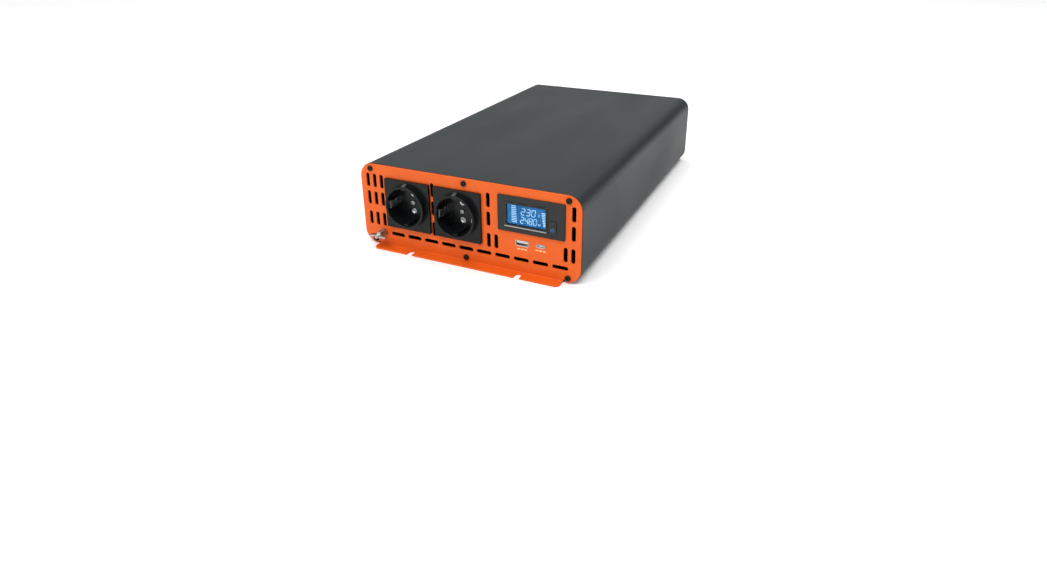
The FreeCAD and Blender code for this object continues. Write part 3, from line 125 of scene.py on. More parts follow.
def make_world():
    """A studio sky: brightest overhead, dimmer to the right, with a dark card behind the DC end.

    The camera itself sees plain white.
    """
    world = bpy.data.worlds.new("studio")
    world.use_nodes = True
    nodes = world.node_tree.nodes
    links = world.node_tree.links
    place = nodes.new("ShaderNodeTexCoord").outputs["Generated"]
    split = nodes.new("ShaderNodeSeparateXYZ")
    links.new(place, split.inputs["Vector"])
    height = nodes.new("ShaderNodeValToRGB")
    ramp = height.color_ramp
    ramp.interpolation = "EASE"
    while len(ramp.elements) < len(SKY):
        ramp.elements.new(0.5)
    for element, (level, strength) in zip(ramp.elements, SKY):
        element.position = level
        element.color = (strength, strength, strength, 1.0)
    links.new(split.outputs["Z"], height.inputs["Fac"])
    toward = nodes.new("ShaderNodeVectorMath")
    toward.operation = "DOT_PRODUCT"
    toward.inputs[1].default_value = Vector(CARD_TOWARD).normalized()
    links.new(place, toward.inputs[0])
    card = nodes.new("ShaderNodeMapRange")
    card.interpolation_type = "SMOOTHSTEP"
    card.inputs["From Min"].default_value = CARD_EDGE
    card.inputs["From Max"].default_value = CARD_MIDDLE
    card.inputs["To Min"].default_value = SKY_STRENGTH
    card.inputs["To Max"].default_value = SKY_STRENGTH * CARD_SHADE
    links.new(toward.outputs["Value"], card.inputs["Value"])
    flank = nodes.new("ShaderNodeMapRange")
    flank.inputs["From Min"].default_value = RIGHT_FROM
    flank.inputs["From Max"].default_value = RIGHT_TO
    flank.inputs["To Min"].default_value = 1.0
    flank.inputs["To Max"].default_value = RIGHT_SHADE
    links.new(split.outputs["X"], flank.inputs["Value"])
    both = nodes.new("ShaderNodeMath")
    both.operation = "MULTIPLY"
    links.new(card.outputs["Result"], both.inputs[0])
    links.new(flank.outputs["Result"], both.inputs[1])
    sky = nodes["Background"]
    links.new(height.outputs["Color"], sky.inputs["Color"])
    links.new(both.outputs["Value"], sky.inputs["Strength"])
    backdrop = nodes.new("ShaderNodeBackground")
    backdrop.inputs["Color"].default_value = (1.0, 1.0, 1.0, 1.0)
    path = nodes.new("ShaderNodeLightPath")
    choice = nodes.new("ShaderNodeMixShader")
    links.new(path.outputs["Is Camera Ray"], choice.inputs["Fac"])
    links.new(sky.outputs["Background"], choice.inputs[1])
    links.new(backdrop.outputs["Background"], choice.inputs[2])
    links.new(choice.outputs["Shader"], nodes["World Output"].inputs["Surface"])
    bpy.context.scene.world = world


def make_lights():
    """Soft boxes round the object, each aimed at its middle."""
    target = Vector(LIGHT_TARGET)
    for name, place, size, watts in LIGHTS:
        data = bpy.data.lights.new(name, "AREA")
        data.size = size
        data.energy = watts
        light = bpy.data.objects.new(name, data)
        light.location = place
        light.rotation_mode = "QUATERNION"
        light.rotation_quaternion = (target - light.location).to_track_quat("-Z", "Y")
        bpy.context.scene.collection.objects.link(light)


# ---------------------------------------------------------------- material tools
def shade(red, green, blue):
    """A display colour, 0 to 255, as scene-linear values."""
    linear = []
    for value in (red, green, blue):
        value = value / 255.0
        linear.append(value / 12.92 if value <= 0.04045 else ((value + 0.055) / 1.055) ** 2.4)
    return tuple(linear)


WAVE_SCALE = 0.314              # the scale at which a wave texture repeats once in a metre
BEVEL_SAMPLES = 4
EDGE_FLAT = 0.995               # how well the normals agree on a flat face, and on a sharp edge
EDGE_SHARP = 0.85


class Finish:
    """A Principled material and the procedural nodes that feed it."""

    def __init__(self, name, color, roughness, metallic=0.0, **constants):
        self.material = bpy.data.materials.new(name)
        self.material.use_nodes = True
        self.nodes = self.material.node_tree.nodes
        self.links = self.material.node_tree.links
        self.shader = self.nodes["Principled BSDF"]
        self.place = self.nodes.new("ShaderNodeTexCoord").outputs["Object"]
        self.normal = None
        self.shader.inputs["Base Color"].default_value = (*color, 1.0)
        self.shader.inputs["Roughness"].default_value = roughness
        self.shader.inputs["Metallic"].default_value = metallic
        for key, value in constants.items():
            self.shader.inputs[key.replace("_", " ")].default_value = value

    def stretched(self, stretch):
        """The object's coordinates, divided along each axis by stretch."""
        mapping = self.nodes.new("ShaderNodeMapping")
        mapping.inputs["Scale"].default_value = [1.0 / amount for amount in stretch]
        self.links.new(self.place, mapping.inputs["Vector"])
        return mapping.outputs["Vector"]

    def noise(self, size, stretch=(1, 1, 1), detail=2.0):
        """Soft noise whose features are about size metres across."""
        node = self.nodes.new("ShaderNodeTexNoise")
        node.inputs["Scale"].default_value = 1.0 / size
        node.inputs["Detail"].default_value = detail
        self.links.new(self.stretched(stretch), node.inputs["Vector"])
        return node.outputs["Fac"]

    def cells(self, size):
        """Cell noise: the distance to the nearest cell's middle."""
        node = self.nodes.new("ShaderNodeTexVoronoi")
        node.inputs["Scale"].default_value = 1.0 / size
        self.links.new(self.place, node.inputs["Vector"])
        return node.outputs["Distance"]

    def bands(self, size, axis, wobble=0.0):
        """Even bands across one axis, with the distance from one to the next."""
        node = self.nodes.new("ShaderNodeTexWave")
        node.bands_direction = axis
        node.inputs["Scale"].default_value = WAVE_SCALE / size
        node.inputs["Distortion"].default_value = wobble
        self.links.new(self.place, node.inputs["Vector"])
        return node.outputs["Fac"]

    def ranged(self, value, low, high, start=0.3, end=0.7):
        """A value from start to end, turned into one from low to high."""
        node = self.nodes.new("ShaderNodeMapRange")
        node.inputs["From Min"].default_value = start
        node.inputs["From Max"].default_value = end
        node.inputs["To Min"].default_value = low
        node.inputs["To Max"].default_value = high
        self.links.new(value, node.inputs["Value"])
        return node.outputs["Result"]

    def mixed(self, value, low, high):
        """A colour between two, each a colour or the output of a node."""
        node = self.nodes.new("ShaderNodeMix")
        node.data_type = "RGBA"
        self.links.new(value, node.inputs["Factor"])
        for name, color in (("A", low), ("B", high)):
            socket = [item for item in node.inputs if item.name == name and item.type == "RGBA"][0]
            if isinstance(color, tuple):
                socket.default_value = (*color, 1.0)
            else:
                self.links.new(color, socket)
        return [item for item in node.outputs if item.type == "RGBA"][0]

    def color(self, output):
        """Feeds the base colour."""
        self.links.new(output, self.shader.inputs["Base Color"])
        return self

    def roughness(self, value, low, high):
        """Spreads the roughness from low to high by a value."""
        self.links.new(self.ranged(value, low, high), self.shader.inputs["Roughness"])
        return self

    def soft_edges(self, radius):
        """Rounds sharp edges for the light only, by a small radius."""
        bevel = self.nodes.new("ShaderNodeBevel")
        bevel.samples = BEVEL_SAMPLES
        bevel.inputs["Radius"].default_value = radius
        self.normal = bevel.outputs["Normal"]
        self.links.new(self.normal, self.shader.inputs["Normal"])
        return self

    def edge_mask(self, radius):
        """1 along sharp edges and 0 on flat faces."""
        bevel = self.nodes.new("ShaderNodeBevel")
        bevel.samples = BEVEL_SAMPLES
        bevel.inputs["Radius"].default_value = radius
        geometry = self.nodes.new("ShaderNodeNewGeometry")
        product = self.nodes.new("ShaderNodeVectorMath")
        product.operation = "DOT_PRODUCT"
        self.links.new(bevel.outputs["Normal"], product.inputs[0])
        self.links.new(geometry.outputs["Normal"], product.inputs[1])
        return self.ranged(product.outputs["Value"], 0.0, 1.0, EDGE_FLAT, EDGE_SHARP)

    def bump(self, height, depth, strength=1.0):
        """Raises the surface by up to depth metres where height is 1."""
        node = self.nodes.new("ShaderNodeBump")
        node.inputs["Strength"].default_value = strength
        node.inputs["Distance"].default_value = depth
        self.links.new(height, node.inputs["Height"])
        if self.normal is not None:
            self.links.new(self.normal, node.inputs["Normal"])
        self.normal = node.outputs["Normal"]
        self.links.new(self.normal, self.shader.inputs["Normal"])
        return self


# ---------------------------------------------------------------- materials
def housing_grey():
    """Dark grey anodised extrusion: a fine grain, and faint die lines along Y."""
    finish = Finish("housing_grey", shade(43, 47, 49), 0.44, 0.1, Specular_IOR_Level=0.19)
    lines = finish.noise(0.5 * MM, (1, 260, 1), 3.0)
    patches = finish.noise(60 * MM, (1, 3, 1))
    grain = finish.noise(0.22 * MM, (1, 1.6, 1), 2.0)
    streaked = finish.mixed(finish.ranged(lines, 0.0, 1.0), shade(40, 45, 47), shade(46, 50, 52))
    worn = finish.mixed(finish.edge_mask(0.5 * MM), streaked, shade(72, 76, 78))
    finish.color(worn)
    finish.roughness(patches, 0.42, 0.52)
    finish.soft_edges(0.35 * MM)
    finish.bump(lines, 0.012 * MM)
    return finish.bump(grain, 0.02 * MM, 0.7).material


def panel_orange():
    """Satin powder coat with a fine orange peel, thinner and paler on its edges."""
    finish = Finish("panel_orange", shade(228, 96, 24), 0.4, Specular_IOR_Level=0.24, Coat_Weight=0.04,
                    Coat_Roughness=0.25)
    patches = finish.noise(35 * MM)
    peel = finish.noise(1.1 * MM, (1, 1, 1), 1.0)
    specks = finish.noise(0.25 * MM)
    base = finish.mixed(finish.ranged(patches, 0.0, 1.0), shade(226, 94, 22), shade(230, 98, 26))
    finish.color(finish.mixed(finish.edge_mask(0.4 * MM), base, shade(246, 126, 60)))
    finish.roughness(specks, 0.36, 0.46)
    finish.soft_edges(0.3 * MM)
    finish.bump(peel, 0.03 * MM)
    return finish.bump(specks, 0.008 * MM).material


def screw_black():
    """Black zinc over steel, rubbed a little on its rims."""
    finish = Finish("screw_black", shade(24, 25, 26), 0.36, 0.4, Specular_IOR_Level=0.35)
    mottle = finish.noise(0.7 * MM)
    base = finish.mixed(finish.ranged(mottle, 0.0, 1.0), shade(17, 18, 19), shade(28, 29, 31))
    finish.color(finish.mixed(finish.edge_mask(0.25 * MM), base, shade(74, 75, 77)))
    finish.roughness(mottle, 0.28, 0.46)
    finish.soft_edges(0.15 * MM)
    return finish.bump(finish.noise(0.3 * MM), 0.01 * MM).material


def moulded(name, dark, light, rough_low, rough_high, grain_size, grain_depth, **constants):
    """A moulded plastic: two close shades, and the grain of the tool it was cast in."""
    finish = Finish(name, dark, rough_high, **constants)
    patches = finish.noise(9 * MM)
    grain = finish.noise(grain_size, (1, 1, 1), 1.0)
    base = finish.mixed(finish.ranged(patches, 0.0, 1.0), dark, light)
    rubbed = tuple(min(1.0, value * 1.5 + 0.015) for value in light)
    finish.color(finish.mixed(finish.edge_mask(0.3 * MM), base, rubbed))
    finish.roughness(patches, rough_low, rough_high)
    finish.soft_edges(0.2 * MM)
    return finish.bump(grain, grain_depth).material


def socket_black():
    return moulded("socket_black", shade(15, 18, 19), shade(19, 22, 23), 0.24, 0.32, 0.5 * MM, 0.006 * MM,
                   Specular_IOR_Level=0.2)


def bezel_black():
    return moulded("bezel_black", shade(31, 34, 33), shade(36, 38, 37), 0.5, 0.6, 0.22 * MM, 0.02 * MM,
                   Specular_IOR_Level=0.35)


def button_black():
    return moulded("button_black", shade(30, 32, 31), shade(35, 37, 36), 0.42, 0.52, 0.2 * MM, 0.015 * MM,
                   Specular_IOR_Level=0.35)


def fan_black():
    return moulded("fan_black", shade(20, 21, 22), shade(27, 28, 29), 0.2, 0.32, 0.8 * MM, 0.008 * MM)


def cover_red():
    return moulded("cover_red", shade(212, 38, 50), shade(222, 44, 57), 0.34, 0.44, 0.35 * MM, 0.012 * MM,
                   Specular_IOR_Level=0.45)


def cover_black():
    return moulded("cover_black", shade(19, 18, 18), shade(24, 23, 23), 0.26, 0.36, 0.35 * MM, 0.012 * MM,
                   Specular_IOR_Level=0.26)


def insulator_black():
    """Glass-filled nylon, flecked with short pale fibres."""
    finish = Finish("insulator_black", shade(34, 34, 36), 0.5)
    flecks = finish.noise(0.4 * MM, (1, 1, 3), 4.0)
    finish.color(finish.mixed(finish.ranged(flecks, 0.0, 1.0, 0.62, 0.7), shade(34, 34, 36),
                              shade(70, 70, 72)))
    finish.roughness(flecks, 0.44, 0.6)
    finish.soft_edges(0.2 * MM)
    return finish.bump(flecks, 0.015 * MM).material


def pane_clear():
    """Clear acrylic with a few faint wipe marks."""
    finish = Finish("pane_clear", (0.96, 0.98, 1.0), 0.03, Transmission_Weight=1.0, IOR=1.15,
                    Specular_IOR_Level=0.03)
    return finish.roughness(finish.noise(6 * MM, (1, 1, 4), 3.0), 0.01, 0.06).material


def pane_frost_and_highlight():
    """The sawn edge of the pane, frosted and pale; the pale colour is partly a painted highlight of the lit
    lower edge.
    """
    # Partly frosting, partly painted highlight: this pale colour stands in for the light on the pane's
    # lower edge.
    finish = Finish("pane_frost_and_highlight", shade(176, 175, 172), 0.5, Subsurface_Weight=0.3, Subsurface_Scale=0.001)
    marks = finish.noise(0.3 * MM, (1, 4, 1))
    finish.color(finish.mixed(finish.ranged(marks, 0.0, 1.0), shade(150, 149, 146), shade(190, 189, 186)))
    return finish.bump(marks, 0.02 * MM).material


def lcd_blue():
    """A blue backlight, brighter in patches over its lamps, behind fine columns."""
    finish = Finish("lcd_blue", shade(6, 26, 56), 0.25, Specular_IOR_Level=0.1, Emission_Strength=1.0)
    lamps = finish.noise(14 * MM, (1, 1, 1), 1.0)
    columns = finish.bands(0.45 * MM, "X")
    glow = finish.mixed(finish.ranged(lamps, 0.0, 1.0), shade(24, 98, 156), shade(36, 124, 186))
    lit = finish.mixed(finish.ranged(columns, 0.0, 0.12, 0.0, 1.0), glow, shade(16, 74, 124))
    finish.links.new(lit, finish.shader.inputs["Emission Color"])
    return finish.roughness(lamps, 0.2, 0.3).material


def display_ink():
    """Clear liquid crystal segments that let the pale backlight through."""
    finish = Finish("display_ink", shade(110, 150, 180), 0.4, Emission_Strength=0.4)
    lamps = finish.noise(8 * MM, (1, 1, 1), 1.0)
    glow = finish.mixed(finish.ranged(lamps, 0.0, 1.0), shade(140, 200, 240), shade(190, 226, 248))
    finish.links.new(glow, finish.shader.inputs["Emission Color"])
    return finish.color(glow).material


def print_and_highlight_ink(name, thin, full):
    """Screen-printed ink, a little uneven where it is thin; also used for the painted highlight on the
    socket collars' ribs.
    """
    finish = Finish(name, full, 0.5)
    cover = finish.noise(0.35 * MM, (1, 1, 1), 3.0)
    finish.color(finish.mixed(finish.ranged(cover, 0.0, 1.0, 0.25, 0.5), thin, full))
    return finish.bump(cover, 0.01 * MM).material


def plated(name, dark, light, rough_low, rough_high, brush=(1, 1, 1)):
    """Bright plated or drawn metal with fine marks along one axis."""
    finish = Finish(name, light, rough_high, 1.0)
    marks = finish.noise(0.25 * MM, brush, 3.0)
    tarnish = finish.noise(5 * MM)
    finish.color(finish.mixed(finish.ranged(tarnish, 0.0, 1.0), dark, light))
    finish.roughness(marks, rough_low, rough_high)
    finish.soft_edges(0.12 * MM)
    return finish.bump(marks, 0.004 * MM).material


def bright_steel():
    return plated("bright_steel", (0.62, 0.62, 0.63), (0.8, 0.8, 0.81), 0.16, 0.3)


def screw_dull():
    """Steel that has lost its shine, deep in the sockets."""
    return plated("screw_dull", (0.3, 0.3, 0.31), (0.42, 0.42, 0.43), 0.3, 0.46)


def zinc_plate():
    """The greyer plating of the earth stud and what is on it."""
    return plated("zinc_plate", (0.4, 0.39, 0.38), (0.54, 0.53, 0.51), 0.24, 0.38)


def mouth_nickel():
    return plated("mouth_nickel", (0.8, 0.8, 0.8), (0.94, 0.94, 0.93), 0.3, 0.42)


def guard_chrome():
    return plated("guard_chrome", (0.5, 0.5, 0.51), (0.62, 0.62, 0.63), 0.14, 0.26)


def spindle_steel():
    return plated("spindle_steel", (0.5, 0.5, 0.52), (0.62, 0.62, 0.64), 0.2, 0.34, (1, 0.3, 1))


def brass():
    return plated("brass", (0.52, 0.34, 0.12), (0.76, 0.55, 0.24), 0.22, 0.4, (1, 0.4, 1))


def copper():
    return plated("copper", (0.62, 0.26, 0.13), (0.8, 0.4, 0.24), 0.24, 0.42, (1, 8, 1))


def aluminium_raw():
    return plated("aluminium_raw", (0.56, 0.57, 0.58), (0.7, 0.71, 0.72), 0.28, 0.46, (1, 120, 1))


def fan_core():
    """Stacked laminations, with copper wire round the limbs."""
    finish = Finish("fan_core", (0.3, 0.3, 0.32), 0.45, 0.8)
    sheets = finish.bands(0.5 * MM, "Y")
    wire = finish.bands(0.35 * MM, "X", 1.0)
    steel = finish.mixed(sheets, (0.16, 0.16, 0.17), (0.36, 0.36, 0.38))
    finish.color(finish.mixed(finish.ranged(wire, 0.0, 0.6), steel, (0.62, 0.26, 0.12)))
    return finish.bump(sheets, 0.05 * MM).material


def board_green():
    """Solder mask over copper tracks, with bare round pads."""
    finish = Finish("board_green", shade(18, 84, 48), 0.35, Coat_Weight=0.3, Coat_Roughness=0.2)
    tracks_along = finish.bands(2.2 * MM, "X", 6.0)
    tracks_across = finish.bands(3.1 * MM, "Y", 6.0)
    pads = finish.cells(5.5 * MM)
    mask = finish.mixed(finish.ranged(tracks_along, 0.0, 1.0, 0.6, 0.7), shade(14, 66, 38),
                        shade(26, 104, 60))
    mask = finish.mixed(finish.ranged(tracks_across, 0.0, 0.6, 0.8, 0.9), mask, shade(30, 112, 66))
    finish.color(finish.mixed(finish.ranged(pads, 1.0, 0.0, 0.1, 0.14), mask, shade(196, 190, 170)))
    return finish.bump(tracks_along, 0.035 * MM).material


def ferrite():
    """Sintered ferrite: dark, matt and slightly pitted."""
    finish = Finish("ferrite", shade(52, 52, 55), 0.6)
    pits = finish.noise(0.8 * MM, (1, 1, 1), 4.0)
    finish.color(finish.mixed(finish.ranged(pits, 0.0, 1.0), shade(44, 44, 47), shade(66, 66, 69)))
    finish.soft_edges(0.4 * MM)
    return finish.bump(pits, 0.08 * MM).material


def winding_tape():
    """Yellow polyester tape, wound with its edges overlapping."""
    finish = Finish("winding_tape", shade(214, 176, 52), 0.3, Coat_Weight=0.3)
    turns = finish.bands(6 * MM, "Z")
    creases = finish.noise(3 * MM, (1, 1, 0.4), 3.0)
    finish.color(finish.mixed(finish.ranged(turns, 0.0, 1.0, 0.05, 0.25), shade(150, 116, 30),
                              shade(216, 180, 58)))
    finish.bump(turns, 0.08 * MM)
    return finish.bump(creases, 0.12 * MM).material


def capacitor_sleeve():
    """Dark blue shrink sleeve, a little wrinkled."""
    finish = Finish("capacitor_sleeve", shade(24, 36, 84), 0.28, Coat_Weight=0.3)
    wrinkles = finish.noise(4 * MM, (1, 1, 3), 2.0)
    finish.color(finish.mixed(finish.ranged(wrinkles, 0.0, 1.0), shade(20, 30, 74), shade(30, 44, 98)))
    return finish.bump(wrinkles, 0.1 * MM).material


def fuse_case():
    """Tinted clear plastic."""
    finish = Finish("fuse_case", shade(70, 176, 92), 0.15, Transmission_Weight=0.5)
    tint = finish.noise(5 * MM)
    return finish.color(finish.mixed(finish.ranged(tint, 0.0, 1.0), shade(54, 150, 78),
                                     shade(88, 196, 112))).material


def relay_case():
    return moulded("relay_case", shade(28, 54, 116), shade(34, 62, 128), 0.3, 0.4, 0.4 * MM, 0.01 * MM)


def transistor_case():
    return moulded("transistor_case", shade(34, 34, 36), shade(42, 42, 44), 0.5, 0.62, 0.3 * MM, 0.03 * MM)


def tongue_white():
    return moulded("tongue_white", shade(206, 206, 202), shade(222, 222, 218), 0.4, 0.5, 0.4 * MM,
                   0.006 * MM)


def wire_insulation():
    return moulded("wire_insulation", shade(36, 36, 38), shade(44, 44, 46), 0.35, 0.45, 0.6 * MM, 0.01 * MM)


MATERIALS = {make.__name__: make() for make in (
    housing_grey, panel_orange, screw_black, socket_black, bezel_black, pane_clear, lcd_blue,
    board_green, button_black, bright_steel, fan_black, fan_core, spindle_steel, guard_chrome,
    brass, copper, cover_red, cover_black, insulator_black, aluminium_raw, ferrite, winding_tape,
    capacitor_sleeve, relay_case, fuse_case, transistor_case, wire_insulation, mouth_nickel,
    tongue_white, screw_dull, zinc_plate)}
REPAINTED = {"socket_screws": "screw_dull", "ground_lock_nut": "zinc_plate", "ground_washers": "zinc_plate",
             "ground_wing_nut": "zinc_plate"}


def paint_nodes():
    """Gives every CAD node its slot's material from the record, or the duller one of REPAINTED."""
    for part in frame["record"]["subparts"]:
        mesh = frame["nodes"][part["node"]].data
        mesh.materials.clear()
        mesh.materials.append(MATERIALS[REPAINTED.get(part["node"], part["material_slot"])])


# ---------------------------------------------------------------- mesh tools
def add_piece(name, build, material, body):
    """Turns a bmesh into a piece that rides on a body."""
    bmesh.ops.recalc_face_normals(build, faces=build.faces[:])
    mesh = bpy.data.meshes.new(name)
    build.to_mesh(mesh)
    build.free()
    mesh.materials.append(material)
    piece = bpy.data.objects.new(name, mesh)
    bpy.context.scene.collection.objects.link(piece)
    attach(piece, body)
    return piece


def add_plate(build, outline, y_near, y_far):
    """A thin flat plate: an outline of x and z, from one y to another."""
    near = [build.verts.new((x, y_near, z)) for x, z in outline]
    far = [build.verts.new((x, y_far, z)) for x, z in outline]
    build.faces.new(near)
    build.faces.new(far[::-1])
    for index in range(len(outline)):
        build.faces.new((near[index - 1], near[index], far[index], far[index - 1]))


def add_bar(build, section, x_low, x_high):
    """A straight bar along X: an outline of y and z, from one x to another."""
    low, high = [[build.verts.new((x, y, z)) for y, z in section] for x in (x_low, x_high)]
    build.faces.new(low)
    build.faces.new(high[::-1])
    for index in range(len(section)):
        build.faces.new((low[index - 1], low[index], high[index], high[index - 1]))


def add_frame(build, outer, inner, y_near, y_far):
    """A thin flat frame between two outlines that have the same number of points."""
    loops = []
    for outline in (outer, inner):
        loops.append([[build.verts.new((x, y, z)) for x, z in outline] for y in (y_near, y_far)])
    (outer_near, outer_far), (inner_near, inner_far) = loops
    for index in range(len(outer)):
        for first, second in ((outer_near, inner_near), (inner_near, inner_far),
                              (inner_far, outer_far), (outer_far, outer_near)):
            build.faces.new((first[index - 1], first[index], second[index], second[index - 1]))


def pill(x, z, width, height, radius, steps=5):
    """The outline of a rectangle with rounded corners."""
    points = []
    for quarter in range(4):
        sign_x = 1 if quarter in (0, 3) else -1
        sign_z = 1 if quarter in (0, 1) else -1
        centre_x = x + sign_x * (width / 2.0 - radius)
        centre_z = z + sign_z * (height / 2.0 - radius)
        for step in range(steps + 1):
            angle = math.pi / 2.0 * (quarter + step / steps)
            points.append((centre_x + radius * math.cos(angle), centre_z + radius * math.sin(angle)))
    return points


def stroke(start, end, width):
    """The outline of a straight stroke with pointed ends."""
    along = (Vector(end) - Vector(start)).normalized() * (width / 2.0)
    across = Vector((-along.y, along.x))
    start, end = Vector(start), Vector(end)
    points = [start - along * 0.6, start + across + along * 0.6, end + across - along * 0.6,
              end + along * 0.6, end - across - along * 0.6, start - across + along * 0.6]
    return [tuple(point) for point in points]


# ---------------------------------------------------------------- display graphics
LCD_BORDER = 1.6 * MM
LEVEL_BARS = 10
STEPPED_BARS = 9
UNIT_STROKE = 0.42 * MM
INK_GAP = 0.03 * MM
INK_T = 0.06 * MM
SLANT = 0.12
SEGMENT_ENDS = {
    "a": ((0, 2), (1, 2)), "b": ((1, 2), (1, 1)), "c": ((1, 1), (1, 0)), "d": ((0, 0), (1, 0)),
    "e": ((0, 1), (0, 0)), "f": ((0, 2), (0, 1)), "g": ((0, 1), (1, 1)),
}
LIT = {"0": "abcdef", "2": "abged", "3": "abgcd", "4": "fgbc", "8": "abcdefg"}


def digit_strokes(digit, x, z, width, height, thickness):
    """The lit segments of one digit whose lower left corner is at x and z."""
    outlines = []
    gap = thickness * 0.42
    for segment in LIT[digit]:
        ends = []
        for column, row in SEGMENT_ENDS[segment]:
            rise = height / 2.0 * row
            ends.append(Vector((x + width * column + rise * SLANT, z + rise)))
        inset = (ends[1] - ends[0]).normalized() * gap
        outlines.append(stroke(ends[0] + inset, ends[1] - inset, thickness))
    return outlines


def reading(text, x, z, width, height, pitch, thickness):
    """A row of digits, a pitch apart."""
    outlines = []
    for index, digit in enumerate(text):
        outlines.extend(digit_strokes(digit, x + pitch * index, z, width, height, thickness))
    return outlines


def display_graphics():
    """Two readings between a column of level bars and a stepped column."""
    left = LCD_LOW.x + LCD_BORDER
    low = LCD_LOW.z + LCD_BORDER
    outlines = reading("230", left + 13.9 * MM, low + 10.4 * MM, 3.5 * MM, 6.4 * MM, 5.3 * MM, 0.8 * MM)
    outlines += reading("2480", left + 13.2 * MM, low + 1.9 * MM, 2.9 * MM, 6.2 * MM, 4.35 * MM, 0.75 * MM)
    for index in range(LEVEL_BARS):
        width = (5.6 - 0.1 * index) * MM
        outlines.append(pill(left + 4.0 * MM + width / 2.0, low + (2.2 + 1.75 * index) * MM, width,
                             0.9 * MM, 0.2 * MM))
    for index in range(STEPPED_BARS):
        width = (2.2 + 0.22 * index) * MM
        outlines.append(pill(left + 38.6 * MM - width / 2.0, low + (2.6 + 1.6 * index) * MM, width,
                             1.0 * MM, 0.2 * MM))
    unit_x = left + 31.2 * MM
    for low_z, points in ((low + 11.0 * MM, ((0, 2.4), (0.9, 0), (1.8, 2.4))),
                          (low + 2.0 * MM, ((0, 2.2), (0.6, 0), (1.2, 1.8), (1.8, 0), (2.4, 2.2)))):
        for start, end in zip(points, points[1:]):
            outlines.append(stroke((unit_x + start[0] * MM, low_z + start[1] * MM),
                                   (unit_x + end[0] * MM, low_z + end[1] * MM), UNIT_STROKE))
    build = bmesh.new()
    near = LCD_LOW.y - INK_GAP - INK_T
    for outline in outlines:
        add_plate(build, outline, near, near + INK_T)
    return add_piece("display_graphics", build, display_ink(), "root")


PANE_PRINT_T = 0.04 * MM
SILL_DROP = 2.5 * MM
SILL_HEIGHT = 0.95 * MM
SILL_OUT = 0.45 * MM
SILL_LEFT = 2.2 * MM
SILL_RIGHT = 1.0 * MM


def pane_mask():
    """The bezel-coloured print on the pane, all round the display."""
    build = bmesh.new()
    outer = pill((PANE_LOW.x + PANE_HIGH.x) / 2.0, (PANE_LOW.z + PANE_HIGH.z) / 2.0,
                 PANE_HIGH.x - PANE_LOW.x, PANE_HIGH.z - PANE_LOW.z, 0.6 * MM)
    inner = pill((LCD_LOW.x + LCD_HIGH.x) / 2.0, (LCD_LOW.z + LCD_HIGH.z) / 2.0,
                 LCD_HIGH.x - LCD_LOW.x - 2 * LCD_BORDER, LCD_HIGH.z - LCD_LOW.z - 2 * LCD_BORDER, 0.3 * MM)
    add_frame(build, outer, inner, PANE_LOW.y - PANE_PRINT_T, PANE_LOW.y)
    return add_piece("display_window_mask", build, MATERIALS["bezel_black"], "root")


def pane_sill():
    """The frosted sill under the display, which catches the light; it stands on the lower edge only, and
    its pale colour is partly a painted highlight.
    """
    build = bmesh.new()
    back_y = PANE_LOW.y - PANE_PRINT_T
    low_z = LCD_LOW.z + LCD_BORDER - SILL_DROP
    section = [(back_y, low_z), (back_y - 0.35 * MM, low_z + 0.2 * MM),
               (back_y - SILL_OUT, low_z + 0.5 * MM), (back_y, low_z + SILL_HEIGHT)]
    add_bar(build, section, LCD_LOW.x + LCD_BORDER - SILL_LEFT, LCD_HIGH.x - LCD_BORDER + SILL_RIGHT)
    # Only the lower edge gets this pale sill: a painted highlight where the light falls, on a frosted edge.
    return add_piece("display_window_sill", build, pane_frost_and_highlight(), "root")


# ---------------------------------------------------------------- printed marks
PRINT_T = 0.04 * MM
DASH_PITCH = 3.7 * MM
DASH_BELOW = 3.1 * MM
DASH_SIZE = (2.9 * MM, 1.4 * MM)
PLUS_ARM = 3.5 * MM
PLUS_HALF = 0.95 * MM
SYMBOL_R = 1.55 * MM
SYMBOL_STROKE = 0.5 * MM


def port_marks():
    """Three printed dashes under each USB port."""
    build = bmesh.new()
    for low, high in ((USB_A_LOW, USB_A_HIGH), (USB_C_LOW, USB_C_HIGH)):
        for index in (-1, 0, 1):
            x = (low.x + high.x) / 2.0 + index * DASH_PITCH
            add_plate(build, pill(x, low.z - DASH_BELOW, *DASH_SIZE, 0.4 * MM), FRONT_Y - PRINT_T, FRONT_Y)
    ink = print_and_highlight_ink("port_ink", shade(252, 164, 104), shade(255, 206, 158))
    return add_piece("port_marks", build, ink, "root")


TONGUES = (                     # width, thickness and rise above the port's middle
    (USB_A_LOW, USB_A_HIGH, 11.2 * MM, 2.0 * MM, 1.0 * MM),
    (USB_C_LOW, USB_C_HIGH, 6.7 * MM, 0.8 * MM, 0.0),
)
LIP_RISE = 0.42 * MM
LIP_T = 0.16 * MM


def port_tongues():
    """The pale plastic of the two USB tongues, with the thin lower lip of each shell's mouth."""
    tongues = bmesh.new()
    lips = bmesh.new()
    for low, high, width, thick, rise in TONGUES:
        x = (low.x + high.x) / 2.0
        z = (low.z + high.z) / 2.0 + rise
        add_plate(tongues, pill(x, z, width, thick, 0.15 * MM), low.y + 0.72 * MM, low.y + 6.0 * MM)
        add_plate(lips, pill(x, low.z + LIP_RISE, width, LIP_T, 0.05 * MM), low.y + 0.1 * MM,
                  low.y + 5.0 * MM)
    add_piece("port_tongues", tongues, MATERIALS["tongue_white"], "root")
    add_piece("port_lips", lips, MATERIALS["mouth_nickel"], "root")


